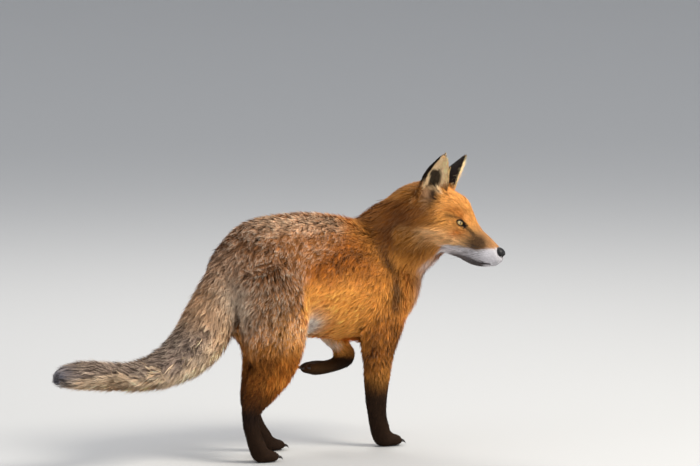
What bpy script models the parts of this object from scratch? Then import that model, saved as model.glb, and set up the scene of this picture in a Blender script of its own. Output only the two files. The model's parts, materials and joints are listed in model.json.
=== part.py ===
"""Life-size red fox in its winter coat, standing in mid step with the head turned to its right.

The body runs along +X, Z is up and the soles of the three standing paws lie at z = 0.
Every size below is in centimetres; a loft row is
    (x, y, z, half width, rise, drop)
where rise and drop are the half depths to either side of the spine. A row may end with the power of
its outline: 2 is an ellipse, less is leaner, more is fuller. The shapes reach the tips of the coat.
"""
import math

import bmesh
import bpy
from mathutils import Euler, Matrix, Vector

CM = 0.01
GAP = 0.0003            # between neighbouring parts
WELD = 0.00002          # corners closer than this are one
RING_SIDES = 28         # points round a loft
STEPS = 4               # rings made between two rows
VOXEL = 0.0036          # grain at which the flesh is blended into one body
SMOOTHING = 5
FLESH_FACES = 3900      # triangles left in the blended body
TAIL_FACES = 560
EYE_SEGMENTS = 14
PAW_SEGMENTS = 16

# Trunk, from rump to breast.
TRUNK = (
    (-19.6, 0, 31.5, 1.6, 1.6, 2.0),
    (-18.6, 0, 31.3, 4.2, 4.6, 5.0),
    (-16.6, 0, 31.0, 6.2, 7.3, 7.5),
    (-13.5, 0, 30.8, 7.4, 9.1, 9.0),
    (-9.5, 0, 31.2, 8.0, 10.1, 9.8),
    (-5.0, 0, 31.4, 8.4, 10.3, 10.6),
    (0.0, 0, 31.0, 8.6, 10.7, 11.2),
    (5.5, 0, 30.4, 8.6, 10.4, 11.2),
    (11.0, 0, 29.6, 8.3, 9.7, 11.2),
    (15.5, 0, 29.3, 7.6, 8.6, 10.6),
    (19.5, -0.3, 29.3, 6.5, 7.2, 8.8),
    (22.4, -0.8, 29.3, 4.6, 5.2, 6.0),
    (23.8, -1.2, 29.3, 2.0, 2.4, 2.6),
)
# Neck, from inside the trunk to the back of the skull.
NECK = (
    (8.0, 0.0, 30.0, 6.6, 7.0, 8.0),
    (13.0, -0.6, 32.4, 7.0, 7.0, 8.6),
    (16.8, -2.0, 35.4, 6.7, 7.0, 8.8),
    (19.8, -4.2, 38.6, 6.2, 6.7, 8.4),
    (22.0, -6.6, 40.6, 5.6, 6.0, 6.8),
    (23.4, -8.4, 41.4, 4.6, 4.6, 5.0),
)

# Head, in its own frame: x to the nose, y to its left, z up, with the origin between the eyes.
HEAD_PLACE = (25.6, -12.0, 39.0)
HEAD_YAW, HEAD_PITCH, HEAD_ROLL = -60, 20, -6
HEAD = (
    (-10.4, 0, 1.4, 3.0, 2.8, 3.6),
    (-9.0, 0, 0.2, 4.8, 4.8, 5.0),
    (-7.0, 0, -0.8, 6.0, 5.9, 5.4, 1.9),
    (-5.0, 0, -1.8, 6.3, 6.7, 4.9, 1.8),
    (-3.0, 0, -2.3, 5.8, 6.7, 4.4, 1.65),
    (-1.2, 0, -2.7, 4.8, 6.2, 3.8, 1.5),
    (0.4, 0, -2.9, 3.9, 5.2, 3.4, 1.5),
    (1.8, 0, -3.0, 3.2, 3.9, 3.2, 1.65),
    (3.0, 0, -3.1, 2.7, 3.2, 3.2, 2.0),
    (4.6, 0, -3.1, 2.25, 2.7, 3.1, 2.2),
    (6.2, 0, -3.15, 1.95, 2.05, 2.6, 2.3),
    (7.4, 0, -3.15, 1.7, 1.65, 1.9, 2.3),
    (8.2, 0, -3.0, 1.25, 1.25, 1.1, 2.2),
    (8.6, 0, -2.8, 0.6, 0.6, 0.5),
)
EYE_CENTRE = (-0.55, 2.45, 0.0)
EYE_RADIUS = 0.92
SOCKET_HOLLOW = ((0.5, 3.75, 0.1), (1.6, 0.95, 1.2))   # place and half sizes of the dip round an eye

# Ears: from the root to the tip, each section a crescent open to the front and the outer side.
EAR_ROOT, EAR_TIP = (-6.3, 3.6, 2.6), (-6.2, 5.7, 10.2)
EAR_OPENS = (0.62, 0.74, 0.0)
EAR_ROWS = (
    # share of the height, half width, depth of the cup
    (0.00, 2.35, 1.9),
    (0.20, 2.65, 1.9),
    (0.40, 2.45, 1.5),
    (0.60, 1.95, 1.0),
    (0.80, 1.20, 0.5),
    (0.93, 0.60, 0.2),
    (1.00, 0.22, 0.05),
)
EAR_THICKNESS = 0.45
EAR_ARC = 8              # faces round the back of an ear
EAR_BEND = 0.5           # how far the middle of the ear bows back

# Legs, from the top down: rise is to the front and drop to the rear.
FORELEG_RIGHT = (
    (13.6, -4.0, 30.0, 4.2, 5.4, 5.2),
    (13.2, -4.2, 24.5, 4.0, 5.6, 4.8),
    (13.0, -4.0, 20.5, 3.5, 4.5, 4.2),
    (12.9, -3.7, 16.5, 2.8, 3.1, 3.0),
    (12.9, -3.4, 12.5, 2.3, 2.4, 2.4),
    (12.9, -3.2, 8.5, 1.9, 2.0, 2.0),
    (13.2, -3.1, 5.5, 1.65, 1.7, 1.7),
    (13.8, -3.0, 3.2, 1.75, 1.8, 1.7),
    (14.2, -3.0, 1.6, 1.6, 1.6, 1.6),
)
FOREARM_LEFT = (
    (3.6, 4.6, 25.2, 3.2, 3.0, 3.0),
    (6.6, 4.4, 21.8, 2.6, 2.4, 2.4),
    (9.4, 4.2, 18.6, 1.95, 1.8, 1.8),
    (11.6, 4.0, 16.3, 1.65, 1.6, 1.55),
    (12.8, 4.0, 15.0, 1.3, 1.2, 1.2),
)
FOREPAW_LEFT = (
    (13.0, 4.0, 15.2, 1.2, 0.9, 0.9),
    (11.6, 4.0, 14.6, 1.55, 1.35, 1.3),
    (9.0, 4.0, 13.9, 1.45, 1.2, 1.2),
    (6.6, 4.0, 13.6, 1.65, 1.15, 1.15),
    (5.2, 4.0, 13.5, 1.6, 1.0, 1.0),
)
HINDLEG_RIGHT = (
    (-13.0, -4.4, 33.5, 4.4, 5.6, 5.0),
    (-12.0, -5.2, 28.5, 4.4, 7.2, 6.4),
    (-11.2, -5.7, 23.5, 4.0, 6.9, 6.8),
    (-11.2, -5.7, 19.5, 3.5, 6.3, 6.4),
    (-11.9, -5.6, 15.8, 2.9, 4.9, 4.9),
    (-13.8, -5.4, 12.4, 2.3, 3.3, 3.2),
    (-15.6, -5.3, 9.4, 1.7, 2.0, 2.0),
    (-15.9, -5.3, 7.2, 1.45, 1.5, 1.6),
    (-15.2, -5.3, 4.4, 1.45, 1.5, 1.4),
    (-14.4, -5.3, 2.4, 1.65, 1.6, 1.5),
    (-14.0, -5.3, 1.4, 1.5, 1.4, 1.4),
)
HINDLEG_LEFT = (
    (-12.0, 4.4, 33.5, 4.4, 5.6, 5.0),
    (-9.2, 5.2, 28.5, 4.4, 6.6, 6.4),
    (-6.2, 5.6, 23.5, 4.0, 5.4, 6.2),
    (-4.9, 5.6, 19.5, 3.4, 4.4, 5.2),
    (-5.5, 5.5, 15.8, 2.8, 3.6, 4.0),
    (-6.9, 5.3, 12.4, 2.2, 2.7, 2.9),
    (-8.2, 5.1, 9.4, 1.7, 1.9, 2.0),
    (-8.0, 5.0, 7.2, 1.45, 1.5, 1.6),
    (-6.8, 5.0, 4.4, 1.45, 1.5, 1.4),
    (-5.5, 5.0, 2.4, 1.65, 1.6, 1.5),
    (-5.0, 5.0, 1.4, 1.5, 1.4, 1.4),
)
# Paws: where the pad lies, which way the toes point, and the half width.
PAWS = (
    ((14.9, -3.0, 0.0), (1, 0, 0), (0, 0, 1), 1.0),
    ((-13.4, -5.3, 0.0), (1, 0, 0), (0, 0, 1), 0.94),
    ((-4.3, 5.0, 0.0), (1, 0, 0), (0, 0, 1), 0.94),
    ((5.6, 4.0, 14.9), (-1, 0, -0.04), (0, 0, -1), 1.0),
)
PAD = ((0.2, 0, 1.15), (2.3, 1.9, 1.35))
TOES = (
    # centre and half sizes, seen from the pad
    ((2.1, 0.52, 1.0), (1.55, 0.62, 1.05)),
    ((2.1, -0.52, 1.0), (1.55, 0.62, 1.05)),
    ((1.5, 1.42, 0.95), (1.45, 0.62, 0.98)),
    ((1.5, -1.42, 0.95), (1.45, 0.62, 0.98)),
)

# Tail, from the tip to the root.
TAIL = (
    (-52.9, 0, 16.6, 0.3, 0.3, 0.3),
    (-52.2, 0, 16.7, 1.3, 1.1, 1.1),
    (-50.0, 0, 17.0, 2.7, 2.2, 2.1),
    (-46.0, 0, 16.9, 3.4, 2.7, 2.4),
    (-41.0, 0, 16.3, 3.6, 2.6, 2.4),
    (-36.5, 0, 16.0, 3.8, 2.6, 2.6),
    (-32.3, 0, 16.3, 4.1, 3.0, 3.0),
    (-28.6, 0, 17.4, 4.4, 3.7, 3.7),
    (-25.2, 0, 19.2, 4.7, 4.4, 4.6),
    (-22.4, 0, 21.9, 4.8, 4.7, 5.0),
    (-20.3, 0, 25.2, 4.6, 4.6, 4.8),
    (-18.5, 0, 28.6, 4.1, 4.2, 4.2),
    (-16.6, 0, 32.0, 3.4, 3.5, 3.4),
    (-14.0, 0, 34.5, 2.6, 2.6, 2.6),
)

# Thin cuts, made in this order. Each takes a new piece off an old one, on the far side of a plane:
# (old piece, new piece, its material, a point of the plane, the way to the new piece).
# A cut may end with the stretches of x and y that it keeps to.
BODY_CUTS = (
    ("trunk_chest", "foreleg_right", "fur_orange", (13.0, -4.9, 20.6), (0, -0.65, -0.76),
     (7.0, 20.0), (-12.0, -0.5)),
    ("trunk_chest", "foreleg_left", "fur_pale", (10.4, 4.1, 17.1), (0.29, 0, -0.96),
     (1.0, 17.0), (0.8, 8.0)),
    ("trunk_chest", "trunk_belly", "fur_orange", (6.3, 0, 31), (-1, 0, 0.15)),
    ("trunk_belly", "trunk_rump", "fur_grizzled", (-3.0, 0, 31), (-1, 0, -0.33)),
    ("trunk_chest", "neck", "fur_orange", (16.2, -1.6, 34.0), (0.78, -0.26, 0.52)),
    ("foreleg_right", "forepaw_right", "fur_dark", (13.0, -3.3, 8.6), (-0.1, 0, -1)),
    ("foreleg_left", "forepaw_left", "fur_dark", (12.0, 4.0, 14.8), (-0.34, 0, -0.94)),
    ("trunk_rump", "thigh_right", "fur_orange", (-10, -5.2, 24.8), (0, -0.7, -0.71),
     (-22.0, 0.5), (-12.0, -0.2)),
    ("thigh_right", "shank_right", "fur_orange", (-11.8, -5.8, 16.8), (0, 0, -1)),
    ("shank_right", "hindpaw_right", "fur_dark", (-15.8, -5.3, 8.6), (0, 0, -1)),
    ("trunk_rump", "thigh_left", "fur_orange", (-10, 5.2, 24.0), (0, 0.7, -0.71),
     (-22.0, 4.0), (0.2, 12.0)),
    ("thigh_left", "shank_left", "fur_orange", (-5.4, 5.6, 16.8), (0, 0, -1)),
    ("shank_left", "hindpaw_left", "fur_dark", (-8.1, 5.0, 8.6), (0, 0, -1)),
)
HEAD_CUTS = (
    ("neck", "head", "fur_orange", (-6.0, 0, -1.5), (0.84, 0, 0.54)),
    ("head", "lower_jaw", "fur_pale", (5.3, 0, -4.85), (-0.02, 0, -1), (1.0, 12.0), (-6.0, 6.0)),
    ("head", "muzzle", "fur_orange", (2.0, 0, -1.0), (1, 0, 0)),
    ("muzzle", "nose", "nose_leather", (7.75, 0, -2.6), (1, 0, 0.35)),
)
TAIL_CUTS = (
    ("tail_root", "tail_middle", "fur_grizzled", (-26.8, 0, 22.6), (-0.66, 0, -0.75)),
    ("tail_middle", "tail_end", "fur_grizzled", (-40.5, 0, 16.0), (-1, 0, 0)),
)
EVERYWHERE = (-80.0, 80.0)
# Colour and roughness.
MATERIALS = {
    "fur_orange": ((0.52, 0.20, 0.045, 1), 0.85),
    "fur_pale": ((0.72, 0.60, 0.46, 1), 0.85),
    "fur_dark": ((0.05, 0.03, 0.02, 1), 0.85),
    "fur_grizzled": ((0.24, 0.16, 0.10, 1), 0.85),
    "nose_leather": ((0.012, 0.011, 0.012, 1), 0.45),
    "eye_amber": ((0.42, 0.22, 0.04, 1), 0.10),
}


def clear_scene():
    for obj in list(bpy.data.objects):
        bpy.data.objects.remove(obj, do_unlink=True)
    for group in list(bpy.data.collections):
        bpy.data.collections.remove(group)


def new_collection(name, helper):
    group = bpy.data.collections.new(name)
    bpy.context.scene.collection.children.link(group)
    group.hide_render = helper
    return group


def make_materials():
    made = {}
    for name, (colour, roughness) in MATERIALS.items():
        material = bpy.data.materials.new(name)
        material.use_nodes = True
        shader = material.node_tree.nodes["Principled BSDF"]
        shader.inputs["Base Color"].default_value = colour
        shader.inputs["Roughness"].default_value = roughness
        shader.inputs["Metallic"].default_value = 0.0
        material.diffuse_color = colour
        made[name] = material
    return made


def head_frame():
    turn = Euler([math.radians(a) for a in (HEAD_ROLL, HEAD_PITCH, HEAD_YAW)], "XYZ")
    return Matrix.Translation(HEAD_PLACE) @ turn.to_matrix().to_4x4()


def add_object(name, body, group, place=Matrix()):
    """An object from a bmesh in centimetres, put in place and turned into metres."""
    bmesh.ops.recalc_face_normals(body, faces=body.faces)
    body.transform(Matrix.Scale(CM, 4) @ place)
    mesh = bpy.data.meshes.new(name)
    body.to_mesh(mesh)
    body.free()
    obj = bpy.data.objects.new(name, mesh)
    group.objects.link(obj)
    return obj


def between(before, start, end, after, share):
    """A Catmull-Rom step from start to end."""
    return tuple(
        0.5 * (2 * b + (c - a) * share + (2 * a - 5 * b + 4 * c - d) * share ** 2
               + (3 * b - a - 3 * c + d) * share ** 3)
        for a, b, c, d in zip(before, start, end, after)
    )


def finer(rows):
    """The rows of a loft with STEPS rings to each, each row filled up with the power 2."""
    rows = [tuple(row) + (2.0,) * (7 - len(row)) for row in rows]
    padded = [rows[0]] + rows + [rows[-1]]
    made = []
    for i in range(len(rows) - 1):
        made += [between(*padded[i:i + 4], step / STEPS) for step in range(STEPS)]
    return made + [rows[-1]]


def loft(name, rows, group, place=Matrix()):
    """A closed body through rounded sections that stand across a spine."""
    rows = finer(rows)
    spine = [Vector(row[:3]) for row in rows]
    body = bmesh.new()
    rings = []
    for i, (_, _, _, half_width, rise, drop, power) in enumerate(rows):
        along = (spine[min(i + 1, len(rows) - 1)] - spine[max(i - 1, 0)]).normalized()
        side = Vector((0, 1, 0))
        side = (side - side.dot(along) * along).normalized()
        top = along.cross(side)
        ring = []
        for step in range(RING_SIDES):
            angle = math.tau * step / RING_SIDES
            across, upward = math.cos(angle), math.sin(angle)
            across = math.copysign(abs(across) ** (2 / power), across)
            upward = math.copysign(abs(upward) ** (2 / power), upward)
            depth = rise if upward > 0 else drop
            ring.append(body.verts.new(spine[i] + side * half_width * across + top * depth * upward))
        rings.append(ring)
    for first, second in zip(rings, rings[1:]):
        for step in range(RING_SIDES):
            after = (step + 1) % RING_SIDES
            body.faces.new((first[step], first[after], second[after], second[step]))
    body.faces.new(rings[0])
    body.faces.new(rings[-1])
    return add_object(name, body, group, place)


def ball(name, centre, half_sizes, group, place=Matrix(), segments=PAW_SEGMENTS):
    body = bmesh.new()
    bmesh.ops.create_uvsphere(body, u_segments=segments, v_segments=segments // 2 + 2, radius=1)
    body.transform(Matrix.Translation(centre) @ Matrix.Diagonal((*half_sizes, 1)))
    return add_object(name, body, group, place)


def paw(number, pad_place, toes_to, upward, size, group):
    """A pad with four toes; its sole is the plane through the pad's place."""
    forward = Vector(toes_to).normalized()
    upward = Vector(upward)
    side = upward.cross(forward).normalized()
    upward = forward.cross(side)
    turn = Matrix((forward, side, upward)).transposed().to_4x4()
    place = Matrix.Translation(pad_place) @ turn @ Matrix.Scale(size, 4)
    made = [ball(f"pad_{number}", *PAD, group, place)]
    for toe, (centre, half_sizes) in enumerate(TOES):
        made.append(ball(f"toe_{number}_{toe}", centre, half_sizes, group, place))
    return made


def ear(name, side, group):
    """A cupped ear, open to the front and the outer side; side is 1 for the left and -1 for the right."""
    mirror = Matrix.Diagonal((1, side, 1, 1))
    root, tip = Vector(EAR_ROOT), Vector(EAR_TIP)
    axis = (tip - root).normalized()
    opens = Vector(EAR_OPENS)
    opens = (opens - opens.dot(axis) * axis).normalized()
    across = axis.cross(opens)
    body = bmesh.new()
    rings = []
    for share, half_width, depth in EAR_ROWS:
        bow = EAR_BEND * math.sin(math.pi * share)
        centre = root + (tip - root) * share - opens * bow
        thickness = min(EAR_THICKNESS, half_width * 0.8)
        ring = []
        for inner in (False, True):
            wide = half_width - (thickness * 0.45 if inner else 0)
            deep = depth - (thickness if inner else 0)
            steps = range(EAR_ARC + 1)
            for step in reversed(steps) if inner else steps:
                angle = math.pi * (step / EAR_ARC - 0.5)
                ring.append(body.verts.new(
                    centre + across * wide * math.sin(angle) - opens * deep * math.cos(angle)))
        rings.append(ring)
    count = len(rings[0])
    for first, second in zip(rings, rings[1:]):
        for step in range(count):
            after = (step + 1) % count
            body.faces.new((first[step], first[after], second[after], second[step]))
    body.faces.new(rings[0])
    body.faces.new(rings[-1])
    return add_object(name, body, group, head_frame() @ mirror)


def block(name, point, towards, group, place, grow, along_x=EVERYWHERE, along_y=EVERYWHERE):
    """The space on one side of a plane within two stretches, let out on all sides by grow."""
    low = Vector((along_x[0] - grow, along_y[0] - grow, EVERYWHERE[0]))
    high = Vector((along_x[1] + grow, along_y[1] + grow, EVERYWHERE[1]))
    towards = Vector(towards).normalized()
    body = bmesh.new()
    bmesh.ops.create_cube(body, size=1)
    body.transform(Matrix.Translation((low + high) / 2) @ Matrix.Diagonal((*(high - low), 1)))
    everything = body.verts[:] + body.edges[:] + body.faces[:]
    bmesh.ops.bisect_plane(body, geom=everything, plane_co=Vector(point) - towards * grow,
                           plane_no=towards, clear_inner=True)
    bmesh.ops.holes_fill(body, edges=[e for e in body.edges if e.is_boundary])
    return add_object(name, body, group, place)


def flatten(obj):
    """Applies the object's modifiers."""
    graph = bpy.context.evaluated_depsgraph_get()
    mesh = bpy.data.meshes.new_from_object(obj.evaluated_get(graph))
    obj.modifiers.clear()
    obj.data = mesh


def tidy(obj):
    """Merges the needle-thin triangles that a cut leaves and splits wide faces into flat ones."""
    body = bmesh.new()
    body.from_mesh(obj.data)
    bmesh.ops.remove_doubles(body, verts=body.verts, dist=WELD)
    bmesh.ops.triangulate(body, faces=body.faces)
    bmesh.ops.dissolve_degenerate(body, edges=body.edges, dist=WELD)
    body.to_mesh(obj.data)
    body.free()


def combine(obj, others, operation):
    for other in others:
        modifier = obj.modifiers.new(operation, "BOOLEAN")
        modifier.operation = operation
        modifier.solver = "EXACT"
        modifier.object = other
        other.display_type = "WIRE"
        other.hide_render = True
    flatten(obj)
    tidy(obj)


def blend(obj):
    modifier = obj.modifiers.new("blend", "REMESH")
    modifier.mode = "VOXEL"
    modifier.voxel_size = VOXEL
    modifier.adaptivity = 0
    flatten(obj)


def joined(name, objects, group):
    """One mesh object that holds all the objects' meshes."""
    body = bmesh.new()
    for obj in objects:
        body.from_mesh(obj.data)
        bpy.data.objects.remove(obj, do_unlink=True)
    mesh = bpy.data.meshes.new(name)
    body.to_mesh(mesh)
    body.free()
    obj = bpy.data.objects.new(name, mesh)
    group.objects.link(obj)
    return obj


def soften(obj, faces_left):
    smooth = obj.modifiers.new("smooth", "SMOOTH")
    smooth.factor = 0.5
    smooth.iterations = SMOOTHING
    flatten(obj)
    fewer = obj.modifiers.new("fewer", "DECIMATE")
    fewer.ratio = min(1.0, faces_left / (2 * len(obj.data.polygons)))
    flatten(obj)


def stand_flat(obj):
    """Cuts the soles off level at z = 0."""
    body = bmesh.new()
    body.from_mesh(obj.data)
    everything = body.verts[:] + body.edges[:] + body.faces[:]
    bmesh.ops.bisect_plane(body, geom=everything, plane_co=(0, 0, 0), plane_no=(0, 0, 1), clear_inner=True)
    bmesh.ops.holes_fill(body, edges=[e for e in body.edges if e.is_boundary])
    bmesh.ops.recalc_face_normals(body, faces=body.faces)
    body.to_mesh(obj.data)
    body.free()


def grown(obj, group):
    """A copy that stands out by the gap, to cut what meets it."""
    copy = bpy.data.objects.new(obj.name + "_grown", obj.data.copy())
    group.objects.link(copy)
    swell = copy.modifiers.new("swell", "DISPLACE")
    swell.mid_level = 0
    swell.strength = GAP
    flatten(copy)
    return copy


def take_off(old, name, material, point, towards, group, helpers, place, *stretches):
    """Makes the part of old beyond a plane an object of its own, with the gap between the two."""
    inside = block(name + "_inside", point, towards, helpers, place, 0.0, *stretches)
    cleared = block(name + "_cleared", point, towards, helpers, place, GAP / CM, *stretches)
    new = bpy.data.objects.new(name, old.data.copy())
    new.data.name = name
    group.objects.link(new)
    combine(new, [inside], "INTERSECT")
    combine(old, [cleared], "DIFFERENCE")
    new.data.materials.clear()
    new.data.materials.append(material)
    return new


def make_flesh(group):
    """Trunk, neck, head and legs as one closed body."""
    head_place = head_frame()
    parts = [
        loft("trunk", TRUNK, group),
        loft("neck_core", NECK, group),
        loft("head_core", HEAD, group, head_place),
        loft("leg_fr", FORELEG_RIGHT, group),
        loft("arm_fl", FOREARM_LEFT, group),
        loft("foot_fl", FOREPAW_LEFT, group),
        loft("leg_hr", HINDLEG_RIGHT, group),
        loft("leg_hl", HINDLEG_LEFT, group),
    ]
    for number, placing in enumerate(PAWS):
        parts += paw(number, *placing, group)
    flesh = joined("flesh", parts, group)
    blend(flesh)
    hollows = []
    for side in (1, -1):
        place, half_sizes = SOCKET_HOLLOW
        place = (place[0], place[1] * side, place[2])
        hollows.append(ball(f"hollow_{side}", place, half_sizes, group, head_place))
    combine(flesh, hollows, "DIFFERENCE")
    blend(flesh)
    soften(flesh, FLESH_FACES)
    stand_flat(flesh)
    return flesh


def main():
    clear_scene()
    fox = new_collection("red_fox", helper=False)
    helpers = new_collection("helpers", helper=True)
    materials = make_materials()
    head_place = head_frame()

    flesh = make_flesh(helpers)
    swollen = grown(flesh, helpers)

    tail = loft("tail", TAIL, helpers)
    fewer = tail.modifiers.new("fewer", "DECIMATE")
    fewer.ratio = TAIL_FACES / (2 * len(tail.data.polygons))
    flatten(tail)
    combine(tail, [swollen], "DIFFERENCE")
    eyes, sockets = [], []
    for word, side in (("left", 1), ("right", -1)):
        centre = (EYE_CENTRE[0], EYE_CENTRE[1] * side, EYE_CENTRE[2])
        eyes.append(ball(f"eye_{word}", centre, (EYE_RADIUS,) * 3, fox, head_place, EYE_SEGMENTS))
        clear = EYE_RADIUS + GAP / CM
        sockets.append(ball(f"socket_{word}", centre, (clear,) * 3, helpers, head_place, EYE_SEGMENTS))
        eyes[-1].data.materials.append(materials["eye_amber"])
        lobe = ear(f"ear_{word}", side, fox)
        combine(lobe, [swollen], "DIFFERENCE")
        lobe.data.materials.append(materials["fur_dark"])

    combine(flesh, sockets, "DIFFERENCE")
    flesh.name, tail.name = "trunk_chest", "tail_root"
    pieces = {"trunk_chest": flesh, "tail_root": tail}
    for obj, material in ((flesh, "fur_orange"), (tail, "fur_grizzled")):
        helpers.objects.unlink(obj)
        fox.objects.link(obj)
        obj.hide_render = False
        obj.data.materials.clear()
        obj.data.materials.append(materials[material])

    for cuts, place in ((BODY_CUTS, Matrix()), (HEAD_CUTS, head_place), (TAIL_CUTS, Matrix())):
        for old, new, material, point, towards, *stretches in cuts:
            pieces[new] = take_off(pieces[old], new, materials[material], point, towards,
                                   fox, helpers, place, *stretches)
    bpy.data.objects.remove(swollen, do_unlink=True)

    corners = [v.co for obj in fox.objects for v in obj.data.vertices]
    middle_x = (min(c.x for c in corners) + max(c.x for c in corners)) / 2
    middle_y = (min(c.y for c in corners) + max(c.y for c in corners)) / 2
    for obj in fox.objects:
        obj.data.transform(Matrix.Translation((-middle_x, -middle_y, 0)))
        for face in obj.data.polygons:
            face.use_smooth = True


if __name__ == "__main__":
    main()
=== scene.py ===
"""Life-size red fox in its winter coat: skin, eyes, lids, nose, claws, whiskers and coat.

Lengths in the tables are in centimetres. Body places have x to the breast, y to the animal's left
and z up, from a point on the floor under the trunk. Head places have u to the nose, v to the left
and w up, from a point between the eyes.
"""
import json
import math

import bmesh
import bpy
import numpy as np
from bpy.props import FloatProperty, FloatVectorProperty, IntProperty, PointerProperty
from mathutils import Euler, Matrix, Vector
from mathutils.bvhtree import BVHTree
from mathutils.kdtree import KDTree

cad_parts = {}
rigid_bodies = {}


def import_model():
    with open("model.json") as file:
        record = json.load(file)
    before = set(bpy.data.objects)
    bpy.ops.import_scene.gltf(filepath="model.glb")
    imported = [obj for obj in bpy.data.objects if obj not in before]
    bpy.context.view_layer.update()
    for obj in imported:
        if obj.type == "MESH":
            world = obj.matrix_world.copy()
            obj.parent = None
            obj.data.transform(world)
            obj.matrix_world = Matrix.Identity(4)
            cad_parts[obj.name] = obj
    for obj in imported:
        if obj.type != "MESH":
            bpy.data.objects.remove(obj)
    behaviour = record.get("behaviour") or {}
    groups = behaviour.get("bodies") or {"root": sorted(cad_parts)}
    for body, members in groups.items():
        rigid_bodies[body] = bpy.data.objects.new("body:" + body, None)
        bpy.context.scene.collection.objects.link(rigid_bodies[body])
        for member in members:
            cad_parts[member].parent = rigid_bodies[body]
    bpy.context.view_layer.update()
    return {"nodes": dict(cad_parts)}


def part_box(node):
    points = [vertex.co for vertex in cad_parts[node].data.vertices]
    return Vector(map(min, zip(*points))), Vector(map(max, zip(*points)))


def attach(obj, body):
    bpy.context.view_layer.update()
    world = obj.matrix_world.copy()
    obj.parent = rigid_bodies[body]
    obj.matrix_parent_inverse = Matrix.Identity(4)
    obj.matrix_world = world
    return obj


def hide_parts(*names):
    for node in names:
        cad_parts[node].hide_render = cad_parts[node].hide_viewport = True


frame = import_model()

bl_info = {
    "name": "Red fox in winter coat",
    "version": (1, 0, 0),
    "blender": (4, 5, 0),
    "location": "3D View > Sidebar > Red Fox",
    "description": "Builds the skin, eyes, nose, claws, whiskers and coat of a life-size red fox",
    "category": "Add Mesh",
}

CM = 0.01
BODY = "root"
FLESH = (
    "trunk_chest", "trunk_belly", "trunk_rump", "neck", "head", "muzzle", "lower_jaw", "nose",
    "foreleg_right", "forepaw_right", "foreleg_left", "forepaw_left",
    "thigh_right", "shank_right", "hindpaw_right", "thigh_left", "shank_left", "hindpaw_left",
    "tail_root", "tail_middle", "tail_end",
)
EARS = ("ear_left", "ear_right")
EYES = ("eye_left", "eye_right")
SIDES = (("left", 1), ("right", -1))

# Where the head stands on the body, and where the eyes stand in the head.
HEAD_PLACE = (25.6, -12.0, 39.0)
HEAD_TURN = (-6, 20, -60)
EYE_FORWARD = -0.55
EYE_APART = 2.45


def middle_of(node):
    low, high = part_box(node)
    return (low + high) / 2


HEAD_ROTATION = Euler([math.radians(a) for a in HEAD_TURN], "XYZ").to_matrix()
EYE_MIDDLE = (middle_of("eye_left") + middle_of("eye_right")) / 2
HEAD_ORIGIN = EYE_MIDDLE - HEAD_ROTATION @ Vector((EYE_FORWARD, 0, 0)) * CM
BODY_ORIGIN = HEAD_ORIGIN - Vector(HEAD_PLACE) * CM
TURN = np.array(HEAD_ROTATION)


def body_to_world(points):
    return np.asarray(points, float) * CM + np.array(BODY_ORIGIN)


def world_to_body(points):
    return (points - np.array(BODY_ORIGIN)) / CM


def head_to_world(points):
    return np.asarray(points, float) @ TURN.T * CM + np.array(HEAD_ORIGIN)


def world_to_head(points):
    return (points - np.array(HEAD_ORIGIN)) / CM @ TURN


def eye_place(side):
    """Middle of an eyeball in the head's frame."""
    return np.array((EYE_FORWARD, EYE_APART * side, 0.0))


ZONE_FALL = 3.0            # how fast a zone fades beyond its reach
EAR_HOLD = 6.0             # how strongly the zone of the ear holds on the ear itself
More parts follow.
